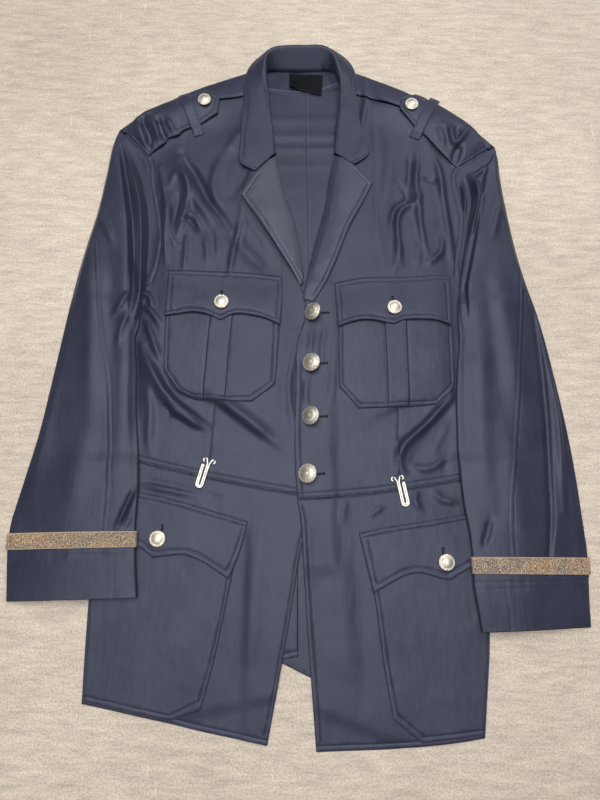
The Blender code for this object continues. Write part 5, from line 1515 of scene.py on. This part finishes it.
def make_hooks():
    """Each belt hook of wire, with loops of thread over its two rings."""
    sides, wire = 14, 1.05
    ring_x, ring_y = 4.65, -2.1
    for side_name, place, z, lean, toward in (
            ("right", (-99.5, -141), 4.1, -15.5, -1), ("left", (113.5, -161), 4.735, 10.5, 1)):
        name, body = "belt_hook_" + side_name, "hook_" + side_name
        lean = math.radians(lean)
        turn = np.array(((math.cos(lean), math.sin(lean)), (-math.sin(lean), math.cos(lean))))
        path = np.array([(toward * px, py) for px, py in hook_path()]) @ turn + np.array(place)
        run = np.gradient(path, axis=0)
        run /= np.hypot(*run.T)[:, None]
        points, faces = [], []
        for index, ((px, py), (dx, dy)) in enumerate(zip(path, run)):
            radius = wire if 0 < index < len(path) - 1 else 0.6
            points += [(px - dy * radius * math.cos(a), py + dx * radius * math.cos(a),
                        z + radius * math.sin(a))
                       for a in np.linspace(0, 2 * math.pi, sides, endpoint=False)]
        last = len(points) - sides
        for base in range(0, last, sides):
            for i in range(sides):
                j = (i + 1) % sides
                faces.append((base + i, base + j, base + sides + j, base + sides + i))
        faces += [tuple(range(sides))[::-1], tuple(range(last, last + sides))]
        add_piece(name + "_wire", points, faces, steel, [name], body=body)
        knots, knot_faces = [], []
        for sign in (-1, 1):
            for k in (-1, 0, 1):
                angle = math.radians(90 + sign * 20 + k * 15)
                out = np.array((math.cos(angle), math.sin(angle)))
                crosswise = angle + lean + math.pi / 2
                width = 0.28 * np.array((math.cos(crosswise), math.sin(crosswise)))
                base = len(knots)
                for reach, over in ((0.8, False), (1.6, True), (2.6, True), (3.5, False)):
                    spot = ((sign * ring_x * toward, ring_y) + reach * out) @ turn + place
                    ground = surface("front_upper_%s_cloth" % side_name, *spot) or 2.9
                    height = z + wire if over else max(ground - 0.1, 0)
                    knots += [(*(spot + way * width), height) for way in (-1, 1)]
                knot_faces += [(b, b + 2, b + 3, b + 1) for b in (base, base + 2, base + 4)]
        add_piece(name + "_thread", knots, knot_faces, thread, [])


# ---------------------------------------------------------------- stage

def floor_material():
    """Trowelled screed: broad clouds, strokes one way, paler scratches the other, specks."""
    material, tree, shader, place = start_material("pale_screed", Roughness=0.6)
    broad = noise(tree, place, 3.2, 4.0, 0.55)
    tone = ramp(tree, broad, (0.3, (0.485, 0.418, 0.345)), (0.7, (0.585, 0.512, 0.432)))
    strokes = noise(tree, scaled(tree, place, (26.0, 130.0, 60.0), math.radians(32)), 1.0, 8.0,
                    0.75)
    sweeps = noise(tree, scaled(tree, place, (300.0, 20.0, 60.0), math.radians(-38)), 1.0, 4.0,
                   0.6)
    grain = ramp(tree, strokes, (0.36, 0.76), (0.62, (1.14, 1.14, 1.13)))
    tone = mixed(tree, 0.85, tone, grain, "MULTIPLY")
    scratches = ramp(tree, sweeps, (0.64, 0), (0.72, 0.35))
    tone = mixed(tree, scratches, tone, (0.80, 0.77, 0.72))
    specks = ramp(tree, noise(tree, place, 520.0, 2.0, 0.6), (0.36, (0.74, 0.73, 0.72)),
                  (0.58, 1.06))
    tree.links.new(mixed(tree, 0.9, tone, specks, "MULTIPLY"), shader.inputs["Base Color"])
    bumped(tree, shader, (strokes, 0.35, 0.0012), (noise(tree, place, 240.0, 3.0), 0.3, 0.0004))
    return material


def area_light(name, place, target, size, power, color):
    data = bpy.data.lights.new(name, "AREA")
    data.shape = "RECTANGLE"
    data.size, data.size_y = size
    data.energy = power
    data.color = color
    lamp = bpy.data.objects.new(name, data)
    lamp.location = place
    lamp.rotation_euler = (Vector(target) - Vector(place)).to_track_quat("-Z", "Y").to_euler()
    bpy.context.scene.collection.objects.link(lamp)


def make_stage():
    """The floor, the studio light, and the camera that the photograph was read through."""
    mesh = bpy.data.meshes.new("floor")
    h = FLOOR_HALF
    mesh.from_pydata([(x, y, -0.0002) for x, y in ((-h, -h), (h, -h), (h, h), (-h, h))], [],
                     [(0, 1, 2, 3)])
    mesh.materials.append(floor_material())
    ground = bpy.data.objects.new("floor", mesh)
    bpy.context.scene.collection.objects.link(ground)
    world = bpy.data.worlds.new("studio")
    bpy.context.scene.world = world
    world.use_nodes = True
    fill(world.node_tree.nodes["Background"], {"Color": (0.80, 0.84, 0.92, 1), "Strength": 0.24})
    area_light("ceiling", (-0.05, 0.20, 1.9), (-0.04, 0.08, 0.0), (1.0, 2.1), 46,
               (1.0, 0.97, 0.93))
    area_light("window", (0.8, 1.3, 1.1), (0.0, 0.0, 0.0), (0.6, 0.4), 7, (0.97, 0.98, 1.0))
    area_light("room", (-1.0, -1.0, 1.7), (0.0, -0.1, 0.0), (0.9, 0.9), 6, (1.0, 0.96, 0.9))
    data = bpy.data.cameras.new("camera")
    data.sensor_fit = "VERTICAL"
    data.sensor_height = 36.0
    data.lens = 27.45
    camera = bpy.data.objects.new("camera", data)
    camera.location = (0.0035, -0.261, 0.695)
    tilt = math.radians(15.4)
    forward = Vector((0.0, math.sin(tilt), -math.cos(tilt)))
    camera.rotation_euler = forward.to_track_quat("-Z", "Y").to_euler()
    bpy.context.scene.collection.objects.link(camera)
    bpy.context.scene.camera = camera
    bpy.context.scene.view_settings.view_transform = "Standard"


make_stage()
make_backs()
make_fronts()
make_skirts()
make_neck()
make_collar()
make_lapels()
make_pockets()
make_flaps()
make_straps()
make_sleeves()
make_buttons()
make_buttonholes()
make_hooks()
make_sewing()
